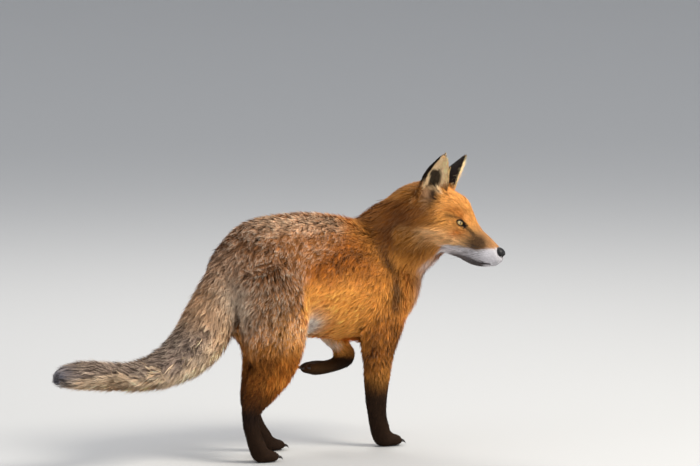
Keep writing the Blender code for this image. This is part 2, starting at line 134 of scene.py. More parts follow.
# Zones of the coat: (name, in the head's frame, start, end, reach, depth, hair length, hair width,
# sag, curl). Hair lies from start to end, sag turns it down the sides, and curl crinkles its locks.
ZONES = (
    ("trunk", False, (17, 0, 31), (-17, 0, 31.5), 9.5, 1.1, 2.5, 0.12, 0.60, 0.45),
    ("rump", False, (-13, 0, 35), (-20, 0, 29), 7.0, 1.2, 2.2, 0.12, 0.45, 1.0),
    ("belly", False, (14, 0, 20), (-7, 0, 21), 4.5, 0.9, 2.8, 0.12, 0.0, 0.3),
    ("neck", False, (22.5, -8, 40.5), (12, 0, 33), 6.5, 1.3, 3.4, 0.11, 0.5, 0.15),
    ("breast", False, (23.5, -7, 34), (20, -1.5, 20), 5.5, 1.4, 3.4, 0.11, 0.2, 0.25),
    ("muzzle", True, (8.8, 0, -2.9), (3.2, 0, -2.3), 2.1, 0.07, 0.36, 0.042, 0.0, 0.0),
    ("face", True, (3.4, 0, -1.4), (-4, 0, 1.8), 3.7, 0.16, 0.70, 0.052, 0.0, 0.1),
    ("crown", True, (-3, 0, 3.2), (-10, 0, 2.2), 4.4, 0.50, 1.5, 0.075, 0.0, 0.2),
    ("cheek", True, (1.0, 3.0, -3.2), (-6.5, 6.4, -3.8), 2.8, 0.7, 1.9, 0.08, 0.25, 0.35),
    ("cheek", True, (1.0, -3.0, -3.2), (-6.5, -6.4, -3.8), 2.8, 0.7, 1.9, 0.08, 0.25, 0.35),
    ("throat", True, (-1.0, 0, -5.9), (-5.5, 0, -8.5), 3.2, 0.6, 1.8, 0.085, 0.0, 0.1),
    ("jaw", True, (7.4, 0, -5.2), (-0.5, 0, -5.8), 1.8, 0.10, 0.50, 0.045, 0.0, 0.0),
    ("eyelid", True, (1.0, 2.5, -0.3), (-2.0, 3.2, 0.5), 1.35, 0.04, 0.30, 0.038, 0.0, 0.0),
    ("eyelid", True, (1.0, -2.5, -0.3), (-2.0, -3.2, 0.5), 1.35, 0.04, 0.30, 0.038, 0.0, 0.0),
    ("ear", True, (-6.3, 3.9, 3.2), (-6.2, 5.8, 10.6), 2.5, 0.10, 0.70, 0.050, 0.0, 0.1),
    ("ear", True, (-6.3, -3.9, 3.2), (-6.2, -5.8, 10.6), 2.5, 0.10, 0.70, 0.050, 0.0, 0.1),
    ("foreleg", False, (13.8, -4.6, 28), (13.0, -3.9, 17), 4.2, 0.7, 1.7, 0.10, 0.0, 0.8),
    ("foreshank", False, (13.0, -3.8, 17), (13.2, -3.1, 4), 2.3, 0.22, 0.85, 0.07, 0.0, 0.2),
    ("forepaw", False, (13.4, -3.0, 3.2), (17.6, -3.0, 0.7), 2.1, 0.10, 0.50, 0.055, 0.0, 0.0),
    ("foreleg", False, (4.6, 4.5, 24), (9.6, 4.2, 18.4), 2.8, 0.5, 1.5, 0.09, 0.0, 0.4),
    ("foreshank", False, (9.6, 4.2, 18.4), (13.0, 4.0, 15.0), 2.0, 0.22, 0.85, 0.07, 0.0, 0.2),
    ("forepaw", False, (13.0, 4.0, 14.8), (3.0, 4.0, 13.7), 1.9, 0.10, 0.50, 0.055, 0.0, 0.0),
    ("thigh", False, (-10.5, -5.6, 31), (-12.4, -5.8, 18), 6.6, 1.0, 2.0, 0.115, 0.0, 1.0),
    ("shank", False, (-12.4, -5.6, 18), (-15.8, -5.3, 9.6), 3.3, 0.5, 1.3, 0.085, 0.0, 0.4),
    ("hindfoot", False, (-15.9, -5.3, 9.2), (-14.4, -5.3, 2.6), 1.9, 0.16, 0.70, 0.065, 0.0, 0.1),
    ("hindpaw", False, (-14.6, -5.3, 2.6), (-10.6, -5.3, 0.7), 2.0, 0.10, 0.50, 0.055, 0.0, 0.0),
    ("thigh", False, (-8.5, 5.6, 31), (-5.6, 5.7, 18), 6.0, 1.0, 2.0, 0.115, 0.0, 1.0),
    ("shank", False, (-5.6, 5.6, 18), (-8.2, 5.1, 9.6), 3.0, 0.5, 1.3, 0.085, 0.0, 0.4),
    ("hindfoot", False, (-8.1, 5.0, 9.2), (-5.6, 5.0, 2.6), 1.9, 0.16, 0.70, 0.065, 0.0, 0.1),
    ("hindpaw", False, (-5.6, 5.0, 2.6), (-1.6, 5.0, 0.7), 2.0, 0.10, 0.50, 0.055, 0.0, 0.0),
    ("tail", False, (-16, 0, 33), (-20.3, 0, 25.2), 4.6, 1.5, 2.7, 0.12, 0.0, 0.9),
    ("tail", False, (-20.3, 0, 25.2), (-25.2, 0, 19.2), 4.8, 1.7, 3.1, 0.12, 0.0, 0.8),
    ("tail", False, (-25.2, 0, 19.2), (-32.3, 0, 16.3), 4.4, 1.6, 3.3, 0.12, 0.0, 0.7),
    ("tail", False, (-32.3, 0, 16.3), (-43, 0, 16.5), 3.4, 1.3, 3.3, 0.12, 0.0, 0.5),
    ("brush", False, (-43, 0, 16.5), (-52.9, 0, 16.7), 3.0, 1.1, 3.4, 0.12, 0.0, 0.3),
)
FACE_ZONES = ("muzzle", "face", "crown", "cheek", "throat", "jaw", "eyelid", "ear")


def linear(red, green, blue):
    """Scene-linear values of a colour given as screen values."""
    return tuple(c / 12.92 if c <= 0.04045 else ((c + 0.055) / 1.055) ** 2.4
                 for c in (red, green, blue))


def colour(name, description, *values):
    return FloatVectorProperty(name=name, description=description, default=linear(*values),
                               size=3, min=0.0, max=1.0, subtype="COLOR")


class FoxCoatSettings(bpy.types.PropertyGroup):
    """Sizes and colours of the fox."""
    skin_grain: FloatProperty(name="Skin grain", description="Size of the skin's faces before thinning",
                              default=0.0018, min=0.001, max=0.01, unit="LENGTH", precision=4)
    skin_faces: IntProperty(name="Skin faces", description="Triangles of the skin without the ears",
                            default=150000, min=20000, max=190000)
    hairs: IntProperty(name="Hairs", description="Hairs in the whole coat",
                       default=340000, min=1000, max=400000)
    hairs_per_lock: FloatProperty(name="Hairs per lock", description="Hairs that lean to one lock",
                                  default=13.0, min=1.0, max=60.0)
    clumping: FloatProperty(name="Clumping", description="How far the tips of a lock draw together",
                            default=0.62, min=0.0, max=1.0, subtype="FACTOR")
    fullness: FloatProperty(name="Fullness", description="Height of the tips over the skin",
                            default=1.0, min=0.2, max=1.5, subtype="FACTOR")
    orange: colour("Orange", "Flanks and hind legs", 0.97, 0.66, 0.30)
    # Fawn also lays a painted highlight on the top of the back.
    fawn: colour("Fawn", "Forehead and crown", 0.93, 0.66, 0.35)
    # Ochre at six tenths lays painted shadow of the head on the neck just behind it.
    ochre: colour("Ochre", "Neck and breast", 0.48, 0.28, 0.08)
    rust: colour("Rust", "Shoulders, brows and bridge of the nose", 0.66, 0.36, 0.10)
    brown: colour("Brown", "Saddle", 0.66, 0.42, 0.22)
    grizzle: colour("Grizzle", "Rump and top of the tail", 0.36, 0.25, 0.18)
    # Umber also lays painted shade: in the crease behind the neck and on the neck's side under the head.
    umber: colour("Umber", "Furrow behind the neck and upper stockings", 0.27, 0.13, 0.03)
    sepia: colour("Sepia", "Whisker beds", 0.17, 0.12, 0.09)
    silver: colour("Silver", "Pale tips of the grizzled hair", 0.86, 0.79, 0.70)
    cream: colour("Cream", "Cheeks and insides of the ears", 0.87, 0.76, 0.60)
    white: colour("White", "Lips, throat and groin", 0.91, 0.90, 0.92)
    # Tan also lays a painted highlight on the top of the rump.
    tan: colour("Tan", "Underside of the tail", 0.90, 0.80, 0.68)
    # Soot also lays painted shade at each ear's mouth and, with the ear's dark skin, in its hollow.
    soot: colour("Soot", "Stockings, ear backs and rims of the eyes", 0.11, 0.08, 0.07)
    # Slate at four tenths lays the jaw's dark edge, partly black lip and partly painted shade.
    slate: colour("Slate", "Tip of the tail and edge of the lower jaw", 0.43, 0.43, 0.47)
    iris: colour("Iris", "Amber of the eyes", 0.67, 0.56, 0.32)


COLOURS = ("orange", "fawn", "ochre", "rust", "brown", "grizzle", "umber", "sepia", "silver", "cream",
           "white", "tan", "soot", "slate")


def settings():
    return bpy.context.scene.fox_coat


# ---------------------------------------------------------------- small helpers

def ramp(start, end, x):
    """0 before start, 1 after end, smooth between; start may be the larger."""
    share = np.clip((x - start) / (end - start), 0, 1)
    return share * share * (3 - 2 * share)


def bell(x, middle, width):
    return np.exp(-((x - middle) / width) ** 2)


def unit(vectors):
    return vectors / np.maximum(np.linalg.norm(vectors, axis=-1, keepdims=True), 1e-12)


def mix(first, second, share):
    share = np.asarray(share)[..., None]
    return first * (1 - share) + np.asarray(second) * share


def patches(points, grain, seed=0):
    """Soft random patches of about the given grain, from -1 to 1."""
    cells = points / grain
    low = np.floor(cells).astype(np.int64)
    part = cells - low
    part = part * part * (3 - 2 * part)
    total = np.zeros(len(points))
    for corner in range(8):
        offset = np.array([corner >> k & 1 for k in range(3)])
        cell = low + offset
        # A scrambled whole number for each cell, the same in every run.
        key = (cell[:, 0] * 73856093) ^ (cell[:, 1] * 19349663) ^ (cell[:, 2] * 83492791)
        key = ((key + seed * 2654435761) * 1103515245 + 12345) & 0x7FFFFFFF
        key = ((key >> 7) * 69069 + 1) & 0xFFFFFF
        weight = np.prod(np.where(offset, part, 1 - part), axis=1)
        total += weight * (key / 0x7FFFFF - 1)
    return total


def distance_to_line(points, start, end):
    """(distance, share of the way) of each point from a straight line between two places."""
    start, along = np.asarray(start, float), np.asarray(end, float) - np.asarray(start, float)
    share = np.clip((points - start) @ along / (along @ along), 0, 1)
    return np.linalg.norm(points - start - share[:, None] * along, axis=1), share


def folded(places):
    """The places with both sides laid on the left one."""
    return np.stack([places[:, 0], np.abs(places[:, 1]), places[:, 2]], 1)


def nearest_distance(places, others):
    return np.min([np.linalg.norm(places - other, axis=1) for other in others], axis=0)


def line_distance(places, line):
    """Distance of each place from a line of straight runs."""
    return np.min([distance_to_line(places, a, b)[0] for a, b in zip(line, line[1:])], axis=0)


def along_line(places, line, width):
    """1 on a line of straight runs, fading across it."""
    return bell(line_distance(places, line), 0, width)


def blot(places, centre, sizes):
    """A soft spot, 1 at its centre."""
    return np.exp(-(((places - np.array(centre)) / np.array(sizes)) ** 2).sum(1))


def edge_at(line, place):
    """The other coordinate of an edge at this one."""
    return np.interp(place, *zip(*sorted(line)))


def deselect():
    if bpy.context.mode != "OBJECT":
        bpy.ops.object.mode_set(mode="OBJECT")
    bpy.ops.object.select_all(action="DESELECT")


def pick(obj):
    deselect()
    obj.select_set(True)
    bpy.context.view_layer.objects.active = obj
    return obj


def apply_modifier(obj, kind, **values):
    pick(obj)
    modifier = obj.modifiers.new(kind.lower(), kind)
    for name, value in values.items():
        setattr(modifier, name, value)
    bpy.ops.object.modifier_apply(modifier=modifier.name)


def finish_piece(obj, material, slot, *nodes):
    """Gives a piece its material and puts it in the place of the named solids; the slot is not used."""
    obj.data.materials.clear()
    obj.data.materials.append(material)
    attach(obj, BODY)
    if nodes:
        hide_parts(*nodes)


def corners_of(mesh):
    points = np.empty(len(mesh.vertices) * 3)
    mesh.vertices.foreach_get("co", points)
    return points.reshape(-1, 3)


def triangles_of(mesh):
    mesh.calc_loop_triangles()
    faces = np.empty(len(mesh.loop_triangles) * 3, np.int32)
    mesh.loop_triangles.foreach_get("vertices", faces)
    return faces.reshape(-1, 3)


def paint_points(mesh, name, tones):
    layer = mesh.color_attributes.new(name, "FLOAT_COLOR", "POINT")
    layer.data.foreach_set("color", np.concatenate([tones, np.ones((len(tones), 1))], 1).ravel())


def vertex_normals(points, faces):
    """Normals of the corners, weighed by the area of the triangles round them."""
    across = np.cross(points[faces[:, 1]] - points[faces[:, 0]], points[faces[:, 2]] - points[faces[:, 0]])
    total = np.stack([sum(np.bincount(faces[:, k], across[:, axis], len(points)) for k in range(3))
                      for axis in range(3)], axis=1)
    return unit(total)


def relaxed(points, edges, share):
    """Each point moved towards the middle of its neighbours."""
    count = np.bincount(edges.ravel(), minlength=len(points))[:, None]
    total = np.stack([np.bincount(edges[:, 0], points[edges[:, 1], axis], len(points))
                      + np.bincount(edges[:, 1], points[edges[:, 0], axis], len(points))
                      for axis in range(3)], axis=1)
    return points + (total / np.maximum(count, 1) - points) * share


def edges_of(mesh):
    ends = np.empty(len(mesh.edges) * 2, np.int32)
    mesh.edges.foreach_get("vertices", ends)
    return ends.reshape(-1, 2)


# ---------------------------------------------------------------- lie and depth of the coat

def zone_weights(points):
    """The share of every zone at each point."""
    body, head = world_to_body(points), world_to_head(points)
    weights = []
    on_ear = ear_facts(points)[3]
    for name, in_head, start, end, reach, *_ in ZONES:
        away, _ = distance_to_line(head if in_head else body, start, end)
        weight = np.exp(-ZONE_FALL * (away / reach) ** 2)
        if name == "ear":
            weight = weight + EAR_HOLD * on_ear * (head[:, 1] * start[1] > 0)
        weights.append(weight)
    weights = np.array(weights).T + 1e-12
    return weights / weights.sum(axis=1, keepdims=True)


def zone_share(weights, *names):
    return weights[:, [i for i, row in enumerate(ZONES) if row[0] in names]].sum(axis=1)


def zone_sizes(weights):
    """Depth of the coat, length and width of its hairs in metres, then their sag and curl."""
    table = np.array([row[5:10] for row in ZONES])
    sizes = weights @ table
    return sizes[:, 0] * CM, sizes[:, 1] * CM, sizes[:, 2] * CM, sizes[:, 3], sizes[:, 4]


def lie(points, normals, weights):
    """The way in which hair lies, along the skin."""
    ways = []
    for _, in_head, start, end, *_ in ZONES:
        way = Vector(end) - Vector(start)
        way = HEAD_ROTATION @ way if in_head else way
        ways.append(way.normalized())
    flow = weights @ np.array(ways)
    sag = zone_sizes(weights)[3]
    flow[:, 2] -= sag * np.sqrt(np.clip(1 - normals[:, 2] ** 2, 0, 1))
    for _, side in SIDES:
        away = points - head_to_world(eye_place(side))
        near = bell(np.linalg.norm(away, axis=1), 0, 1.15 * CM)
        flow += 0.9 * near[:, None] * unit(away)
    calm = 1 - 0.8 * zone_share(weights, *FACE_ZONES)
    wave = (patches(points, 0.035, 3) * 0.35 * calm)[:, None] * np.cross(normals, flow)
    flow = flow + wave
    return unit(flow - (flow * normals).sum(1, keepdims=True) * normals)


# ---------------------------------------------------------------- coat pattern, painted shade and painted highlights

# Edges between colours: (x, z) of the grizzled saddle's front edge, and (u, w) of the white's top.
SADDLE_EDGE = ((-12.5, 13), (-9.0, 18), (-7.3, 24), (-6.6, 31), (-4.0, 33.5), (1.0, 35.5),
               (5.5, 38.0), (8.5, 41))
WHITE_EDGE = ((-8.0, -8.5), (-3.4, -5.5), (-1.3, -4.8), (0.2, -3.8), (1.8, -3.4), (3.5, -3.55),
              (4.7, -3.5), (5.9, -2.6), (7.0, -2.1), (7.6, -1.3))
# Line of the crease between the neck's ruff and the shoulder, where painted shade is laid.
NECK_FURROW = ((9.0, 5.0, 40.2), (12.0, 7.0, 37.0), (14.8, 7.6, 31.5), (13.6, 7.5, 26.0))
BIB = ((24.5, -9.0, 33.5), (25.0, -5.0, 30.5), (24.5, -1.5, 26.0), (21.0, -0.8, 20.0))
TEAR_LINE = ((0.55, 2.5, -0.15), (1.2, 2.3, -0.4), (2.1, 2.0, -0.8), (3.1, 1.8, -1.3))
EYE_LINE = ((0.7, 2.5, 0.25), (0.0, 2.9, 0.72), (-0.9, 3.35, 0.72), (-1.9, 3.75, 0.5))
# Spots on the head above the eye, below it and under the ear: (colour, centre, sizes, strength).
HEAD_SPOTS = (
    ("rust", (-0.3, 2.6, 1.4), (2.2, 1.6, 1.2), 0.95),
    ("rust", (0.9, 2.8, -1.6), (1.8, 1.4, 0.9), 0.9),
    ("silver", (-6.8, 4.9, 1.2), (1.3, 1.8, 1.5), 0.65),
)
# Edges of the dark hollow in the ear, dark skin with painted shade of the cup: shares up the ear, then
# places across it.
HOLLOW_FRONT = ((0.12, 0.3, 0.42, 0.5, 0.6), (-0.60, -0.46, -0.34, -0.20, 0.2))
HOLLOW_REAR = ((0.12, 0.3, 0.42), (0.20, 0.28, 0.42))
WHISKER_ROWS, WHISKERS_IN_ROW = 4, 5


def whisker_root(row, place):
    return (3.9 + 0.62 * place - 0.2 * row, 2.05 - 0.14 * place, -2.7 - 0.45 * row + 0.04 * place)


WHISKER_ROOTS = np.array([whisker_root(row, place) for row in range(WHISKER_ROWS)
                          for place in range(WHISKERS_IN_ROW)])


class Sites:
    """What the colours go by at each point: its place, facing, zones and soft random patches."""

    def __init__(self, points, normals, weights):
        self.points, self.normals, self.weights = points, normals, weights
        self.up = normals[:, 2]
        self.body, self.head = world_to_body(points), world_to_head(points)
        self.folded_body, self.folded_head = folded(self.body), folded(self.head)
        self.rough, self.fine = patches(points, 0.03, 1), patches(points, 0.012, 2)
        self.fleck = np.clip(1.6 * patches(points, 0.0055, 8), -1, 1)
        self.trunk = self.zone("trunk", "rump", "belly", "thigh", "foreleg")
        self.neck = self.zone("neck", "breast")
        self.tail = self.zone("tail", "brush")
        self.on_head = self.zone(*FACE_ZONES)

    def zone(self, *names):
        return zone_share(self.weights, *names)


class HairColours:
    """The colours that hair has near the skin, along the shaft and at the tip, while it is dyed and while
    painted shade and highlights are laid on it.
    """

    def __init__(self, tones):
        self.root = self.shaft = self.tip = tones

    def dye_and_paint_light(self, tones, share, **strengths):
        """Mixes a colour into the named parts of the hair, each by its strength times the share."""
        for part, strength in strengths.items():
            setattr(self, part, mix(getattr(self, part), tones, share * strength))

    def scale(self, *parts, by):
        for part in parts:
            setattr(self, part, getattr(self, part) * by[:, None])


def grizzled_share(body, tail):
    """How far the body's coat is the dark, pale-tipped one of the back, rump and thighs."""
    x, _, z = body.T
    wander = patches(body * CM, 0.022, 4) * 1.2 + patches(body * CM, 0.008, 5) * 0.8
    edge = edge_at([(z0, x0) for x0, z0 in SADDLE_EDGE], z)
    spread = 1.4 + 2.2 * ramp(31, 38, z)
    return ramp(spread, -spread, x - edge + wander) * ramp(18.0, 24.0, z + wander) * (1 - tail)


def dye_front_and_paint_light(hair, at, paint):
    """Flanks, shoulders, neck with painted shade in the crease behind it and on its side under the head,
    upper arm, bib, and a painted highlight on the top of the back.
    """
    x, y, z = at.body.T
    u, _, w = at.head.T
    hair.dye_and_paint_light(paint["rust"], at.trunk * ramp(28, 34, z + at.rough), shaft=0.95)
    streaks = at.trunk * bell(z, 34.5, 2.4) * ramp(-5, -1, x) * ramp(0.9, 0.6, at.up)
    hair.dye_and_paint_light(paint["umber"], streaks * np.clip(0.42 + 0.5 * at.fleck, 0, 1), shaft=1)
    hair.dye_and_paint_light(paint["rust"], at.trunk * ramp(5, 12, x + at.rough) * ramp(20, 27, z), shaft=0.35)
    # Painted highlight: the top of the back, where it faces up, is lighter.
    hair.dye_and_paint_light(paint["fawn"], at.trunk * ramp(0.55, 0.9, at.up) * ramp(-12, -5, x), shaft=0.75)
    hair.dye_and_paint_light(paint["ochre"], np.clip(at.neck * 1.3, 0, 1) * ramp(22, 29, z + at.rough), shaft=1)
    hair.dye_and_paint_light(paint["rust"], at.zone("breast") * ramp(22, 28, z), shaft=0.6)
    hair.dye_and_paint_light(paint["orange"], at.neck * ramp(38, 32, z + at.rough), shaft=0.6)
    # Painted shadow that the head casts on the side of the neck, laid over the ochre fur.
    collar_shade = at.neck * bell(u, -8.8, 2.8) * ramp(2.5, -0.5, w) * ramp(-8.0, -5.0, w)
    hair.dye_and_paint_light(paint["umber"], np.clip(collar_shade * 0.9, 0, 0.75), shaft=1)
    # Painted shade in the crease between the neck's ruff and the shoulder.
    furrow_shade = np.clip(1.25 * along_line(at.folded_body, NECK_FURROW, 1.2 + 0.3 * at.rough), 0, 1)
    hair.dye_and_paint_light(paint["umber"], furrow_shade * (1 - at.tail), shaft=0.9)
    upper_arm = at.zone("foreleg") * (y < 0)
    hair.dye_and_paint_light(paint["rust"], upper_arm * ramp(28, 22, z) * (0.8 + 0.2 * at.fine), shaft=1)
    hair.dye_and_paint_light(paint["umber"], upper_arm * ramp(30, 17, z) * np.clip(0.65 + 0.5 * at.fleck, 0, 1), shaft=1)
    hair.tip = mix(hair.shaft, paint["cream"], (0.16 + 0.08 * at.fine) * (1 - 0.6 * at.neck))
    hair.root = hair.shaft * 0.5
    bib = np.clip(1.5 * along_line(at.body, BIB, 3.2 + 0.5 * at.rough), 0, 1) * np.clip(1.3 * at.neck, 0, 1)
    bib = bib * ramp(0.25, 0.65, at.normals[:, 0] - 0.35 * at.normals[:, 1])
    hair.dye_and_paint_light(paint["white"], bib, shaft=0.9, tip=0.95)


def dye_saddle_and_paint_light(hair, at, paint):
    """Grizzled saddle, rump and sides of the thighs, the pale swirl by the tail, groin and belly, and a
    painted highlight on the top of the rump.
    """
    x, y, z = at.body.T
    grizzled = grizzled_share(at.body, at.tail)
    dark = np.clip(ramp(-4, -13, x + 1.5 * at.rough) * ramp(20, 27, z) + 0.25 * at.rough, 0, 1)
    coat = mix(np.tile(paint["brown"], (len(x), 1)), paint["grizzle"], dark * 0.75)
    coat = mix(coat, paint["fawn"], ramp(30, 22, z + at.rough) * ramp(-16, -9, x) * 0.5)
    # Painted highlight: the top of the back and rump, where it faces up, is lighter.
    coat = mix(coat, paint["tan"], ramp(0.6, 0.95, at.up) * ramp(-14, -6, x) * 0.5)
    hair.dye_and_paint_light(coat, grizzled, shaft=0.95)
    hair.scale("shaft", by=1 + 0.50 * grizzled * at.fleck)
    hair.dye_and_paint_light(coat * 0.28, grizzled, root=1)
    pale = np.clip(0.50 + 0.2 * at.fine + 0.7 * at.fleck, 0, 1)
    hair.dye_and_paint_light(mix(coat * 0.9, paint["silver"], pale), grizzled, tip=1)
    swirl = blot(at.folded_body, (-18.0, 4.0, 28.0), (2.6, 4.0, 4.6)) * (1 - 0.5 * at.tail)
    hair.dye_and_paint_light(paint["silver"] * 0.8, swirl, shaft=0.7)
    hair.dye_and_paint_light(paint["silver"], swirl, tip=0.8)
    groin = np.clip(2.6 * blot(at.folded_body, (-2.4, 4.5, 22.2), (3.0, 4.5, 2.6)), 0, 1)
    groin = groin * ramp(0.5, 0.1, at.up) * (1 - at.zone("shank", "foreleg")) * (1 - 0.7 * (y > 0))
    hair.dye_and_paint_light(0.5 * paint["cream"] + 0.7 * paint["white"], groin, shaft=0.9, tip=0.95)
    under = ramp(0.1, -0.5, at.up) * ramp(21.5, 19.5, z) * ramp(8, 3, np.abs(x)) * at.trunk
    hair.dye_and_paint_light(paint["cream"], under, shaft=0.6, tip=0.6)


def dye_legs(hair, at, paint):
    """Rust low on the thighs, brown shanks, black stockings, and the pale inside of the lifted arm."""
    x, y, z = at.body.T
    right = y < 0
    thigh, fore = at.zone("thigh", "shank"), at.zone("foreshank", "forepaw")
    hind = at.zone("shank", "hindfoot", "hindpaw")
    low_thigh = thigh * ramp(23, 18, z + at.rough)
    deep = 0.7 * paint["rust"] + 0.3 * paint["umber"]
    hair.dye_and_paint_light(deep, low_thigh * np.clip(0.9 + 0.3 * at.fleck, 0, 1), shaft=1)
    hair.dye_and_paint_light(deep, low_thigh, tip=0.85)
    behind = np.where(right, ramp(0.5, -1.5, x + 12.8 + 0.35 * (15 - z)), ramp(0.5, -1.5, x + 6.0))
    hair.dye_and_paint_light(paint["umber"], thigh * behind * ramp(24, 18, z + at.rough), shaft=0.8)
    brown_leg = fore * np.where(right, ramp(21.0, 15.5, z + 1.5 * at.rough), ramp(7.5, 10.5, x))
    brown_leg = np.maximum(brown_leg, hind * ramp(16.5, 11.5, z + 1.5 * at.rough))
    hair.dye_and_paint_light(paint["umber"], brown_leg, shaft=0.75, tip=0.55)
    pale_arm = (y > 0) * ramp(23.5, 21.5, z) * ramp(9.8, 8.4, x) * (1 - at.zone("forepaw"))
    pale_arm = pale_arm * at.zone("foreleg", "foreshank")
    hair.dye_and_paint_light(paint["silver"], pale_arm, shaft=0.8)
    hair.dye_and_paint_light(paint["white"], pale_arm, tip=0.8)
    stocking = fore * np.where(right, ramp(14.0, 9.5, z + at.rough), ramp(16.8, 15.0, z + 0.3 * at.rough))
    stocking = np.maximum(stocking, hind * ramp(12.5, 8.0, z + 1.2 * at.rough))
    hair.dye_and_paint_light(paint["soot"], stocking, shaft=0.95, tip=0.92)
    hair.dye_and_paint_light(paint["soot"] * 0.8, np.maximum(stocking, brown_leg * 0.6), root=1)


def dye_tail(hair, at, paint):
    """Dark above, tan below, slate at the end."""
    facing_up = at.up - 0.35 * at.normals[:, 0] + 0.3 * at.rough + 0.2 * at.fine
    above = at.tail * ramp(-0.45, 0.45, facing_up)
    hair.dye_and_paint_light(paint["tan"], at.tail, shaft=0.92)
    hair.dye_and_paint_light(mix(paint["grizzle"], paint["slate"], 0.35), above, shaft=0.85)
    hair.scale("shaft", by=1 + 0.40 * at.tail * at.fleck)
    hair.dye_and_paint_light(hair.shaft * 0.4, at.tail, root=1)
    pale = np.clip(0.55 + 0.2 * at.fine + 0.45 * at.fleck, 0, 1)
    hair.dye_and_paint_light(mix(hair.shaft, paint["silver"], pale), at.tail, tip=0.95)
    end = at.tail * ramp(-45.5, -50.0, at.body[:, 0] + 0.8 * at.rough)
    hair.dye_and_paint_light(paint["slate"], end, shaft=0.95)
    hair.dye_and_paint_light(paint["slate"] * 0.75, end, tip=0.95)


def dye_head_and_paint_shade(hair, at, paint):
    """Light forehead, rust round the eyes, pale cheeks, and the ochre behind the head darkened as painted
    shadow of the head.
    """
    u, _, w = at.head.T
    fur = np.tile(paint["ochre"], (len(u), 1))
    fur = mix(fur, paint["fawn"], ramp(-6.8, -2.8, u) * 0.95)
    fur = mix(fur, mix(paint["brown"], paint["cream"], 0.25), ramp(1.5, 4.5, u) * 0.85)
    cheek = np.clip(at.zone("cheek") * 1.25, 0, 1) * ramp(0.6, -1.2, w + 0.3 * at.fine)
    cheek = cheek * ramp(-6.1, -4.3, u + 0.5 * at.rough)
    fur = mix(fur, paint["cream"], cheek * (0.50 + 0.25 * at.fine))
    for name, centre, sizes, strength in HEAD_SPOTS:
        fur = mix(fur, paint[name], blot(at.folded_head, centre, sizes) * strength)
    # Painted shadow of the head: the ochre fur just behind it is laid at six tenths.
    nape_shade = ramp(-5.2, -7.0, u + 0.5 * at.rough) * ramp(3.0, 1.0, w)
    fur = mix(fur, paint["ochre"] * 0.6, nape_shade * 0.95)
    hair.dye_and_paint_light(fur, np.clip(at.on_head * 1.15, 0, 1), shaft=1)
    hair.dye_and_paint_light(hair.shaft * 0.78, np.clip(at.on_head + 0.4 * at.neck, 0, 1), root=1)
    hair.dye_and_paint_light(mix(hair.shaft, paint["cream"], 0.25 + 0.15 * at.fine), at.on_head, tip=1)


def dye_muzzle_and_paint_shade(hair, at, paint):
    """Whisker beds, white lips and throat, tear lines, dark edge of the lower jaw (partly black lip, partly
    painted shade), and pores.
    """
    u, v, w = at.head.T
    bed = blot(at.folded_head, (4.2, 1.8, -2.3), (1.5, 1.4, 1.3)) * ramp(0.35, 1.1, np.abs(v))
    bed = np.maximum(bed, blot(at.folded_head, (4.1, 1.9, -3.1), (0.8, 0.9, 0.5)))
    hair.dye_and_paint_light(paint["sepia"], np.clip(bed * 1.7, 0, 1) * at.on_head, shaft=0.92, tip=0.88)
    white = ramp(0.22, -0.30, w - edge_at(WHITE_EDGE, u) + 0.12 * at.fine) * ramp(0.35, 0.7, at.on_head)
    white = white * ramp(-7.0, -5.0, u) * 0.97
    hair.dye_and_paint_light(paint["white"] * 0.65, white, root=1)
    hair.dye_and_paint_light(paint["white"] * 0.87, white, shaft=1)
    hair.dye_and_paint_light(paint["white"] * 0.93, white, tip=1)
    tear = along_line(at.folded_head, TEAR_LINE, 0.36)
    tear = np.maximum(tear, along_line(at.folded_head, EYE_LINE, 0.30)) * at.on_head
    hair.dye_and_paint_light(paint["soot"], tear, shaft=0.9, tip=0.85)
    # Dark edge of the lower jaw: partly the black lower lip, partly painted shade of the jaw under the
    # muzzle.
    jaw_lip_and_shade = at.on_head * ramp(6.9, 5.9, u) * ramp(0.0, 1.2, u) * np.clip(1.6 * bell(w, -5.6, 0.62), 0, 1)
    hair.dye_and_paint_light(paint["sepia"] * 1.2, jaw_lip_and_shade, shaft=0.95)
    hair.dye_and_paint_light(paint["slate"] * 0.4, jaw_lip_and_shade, tip=0.9)
    split = at.on_head * bell(v, 0, 0.09) * ramp(6.7, 7.1, u) * ramp(-3.0, -3.4, w)
    hair.dye_and_paint_light(paint["soot"], split, shaft=0.9, tip=0.8)
    pores = bell(nearest_distance(at.folded_head, WHISKER_ROOTS), 0, 0.10) * at.on_head
    hair.dye_and_paint_light(paint["sepia"], pores, shaft=0.8, tip=0.6)


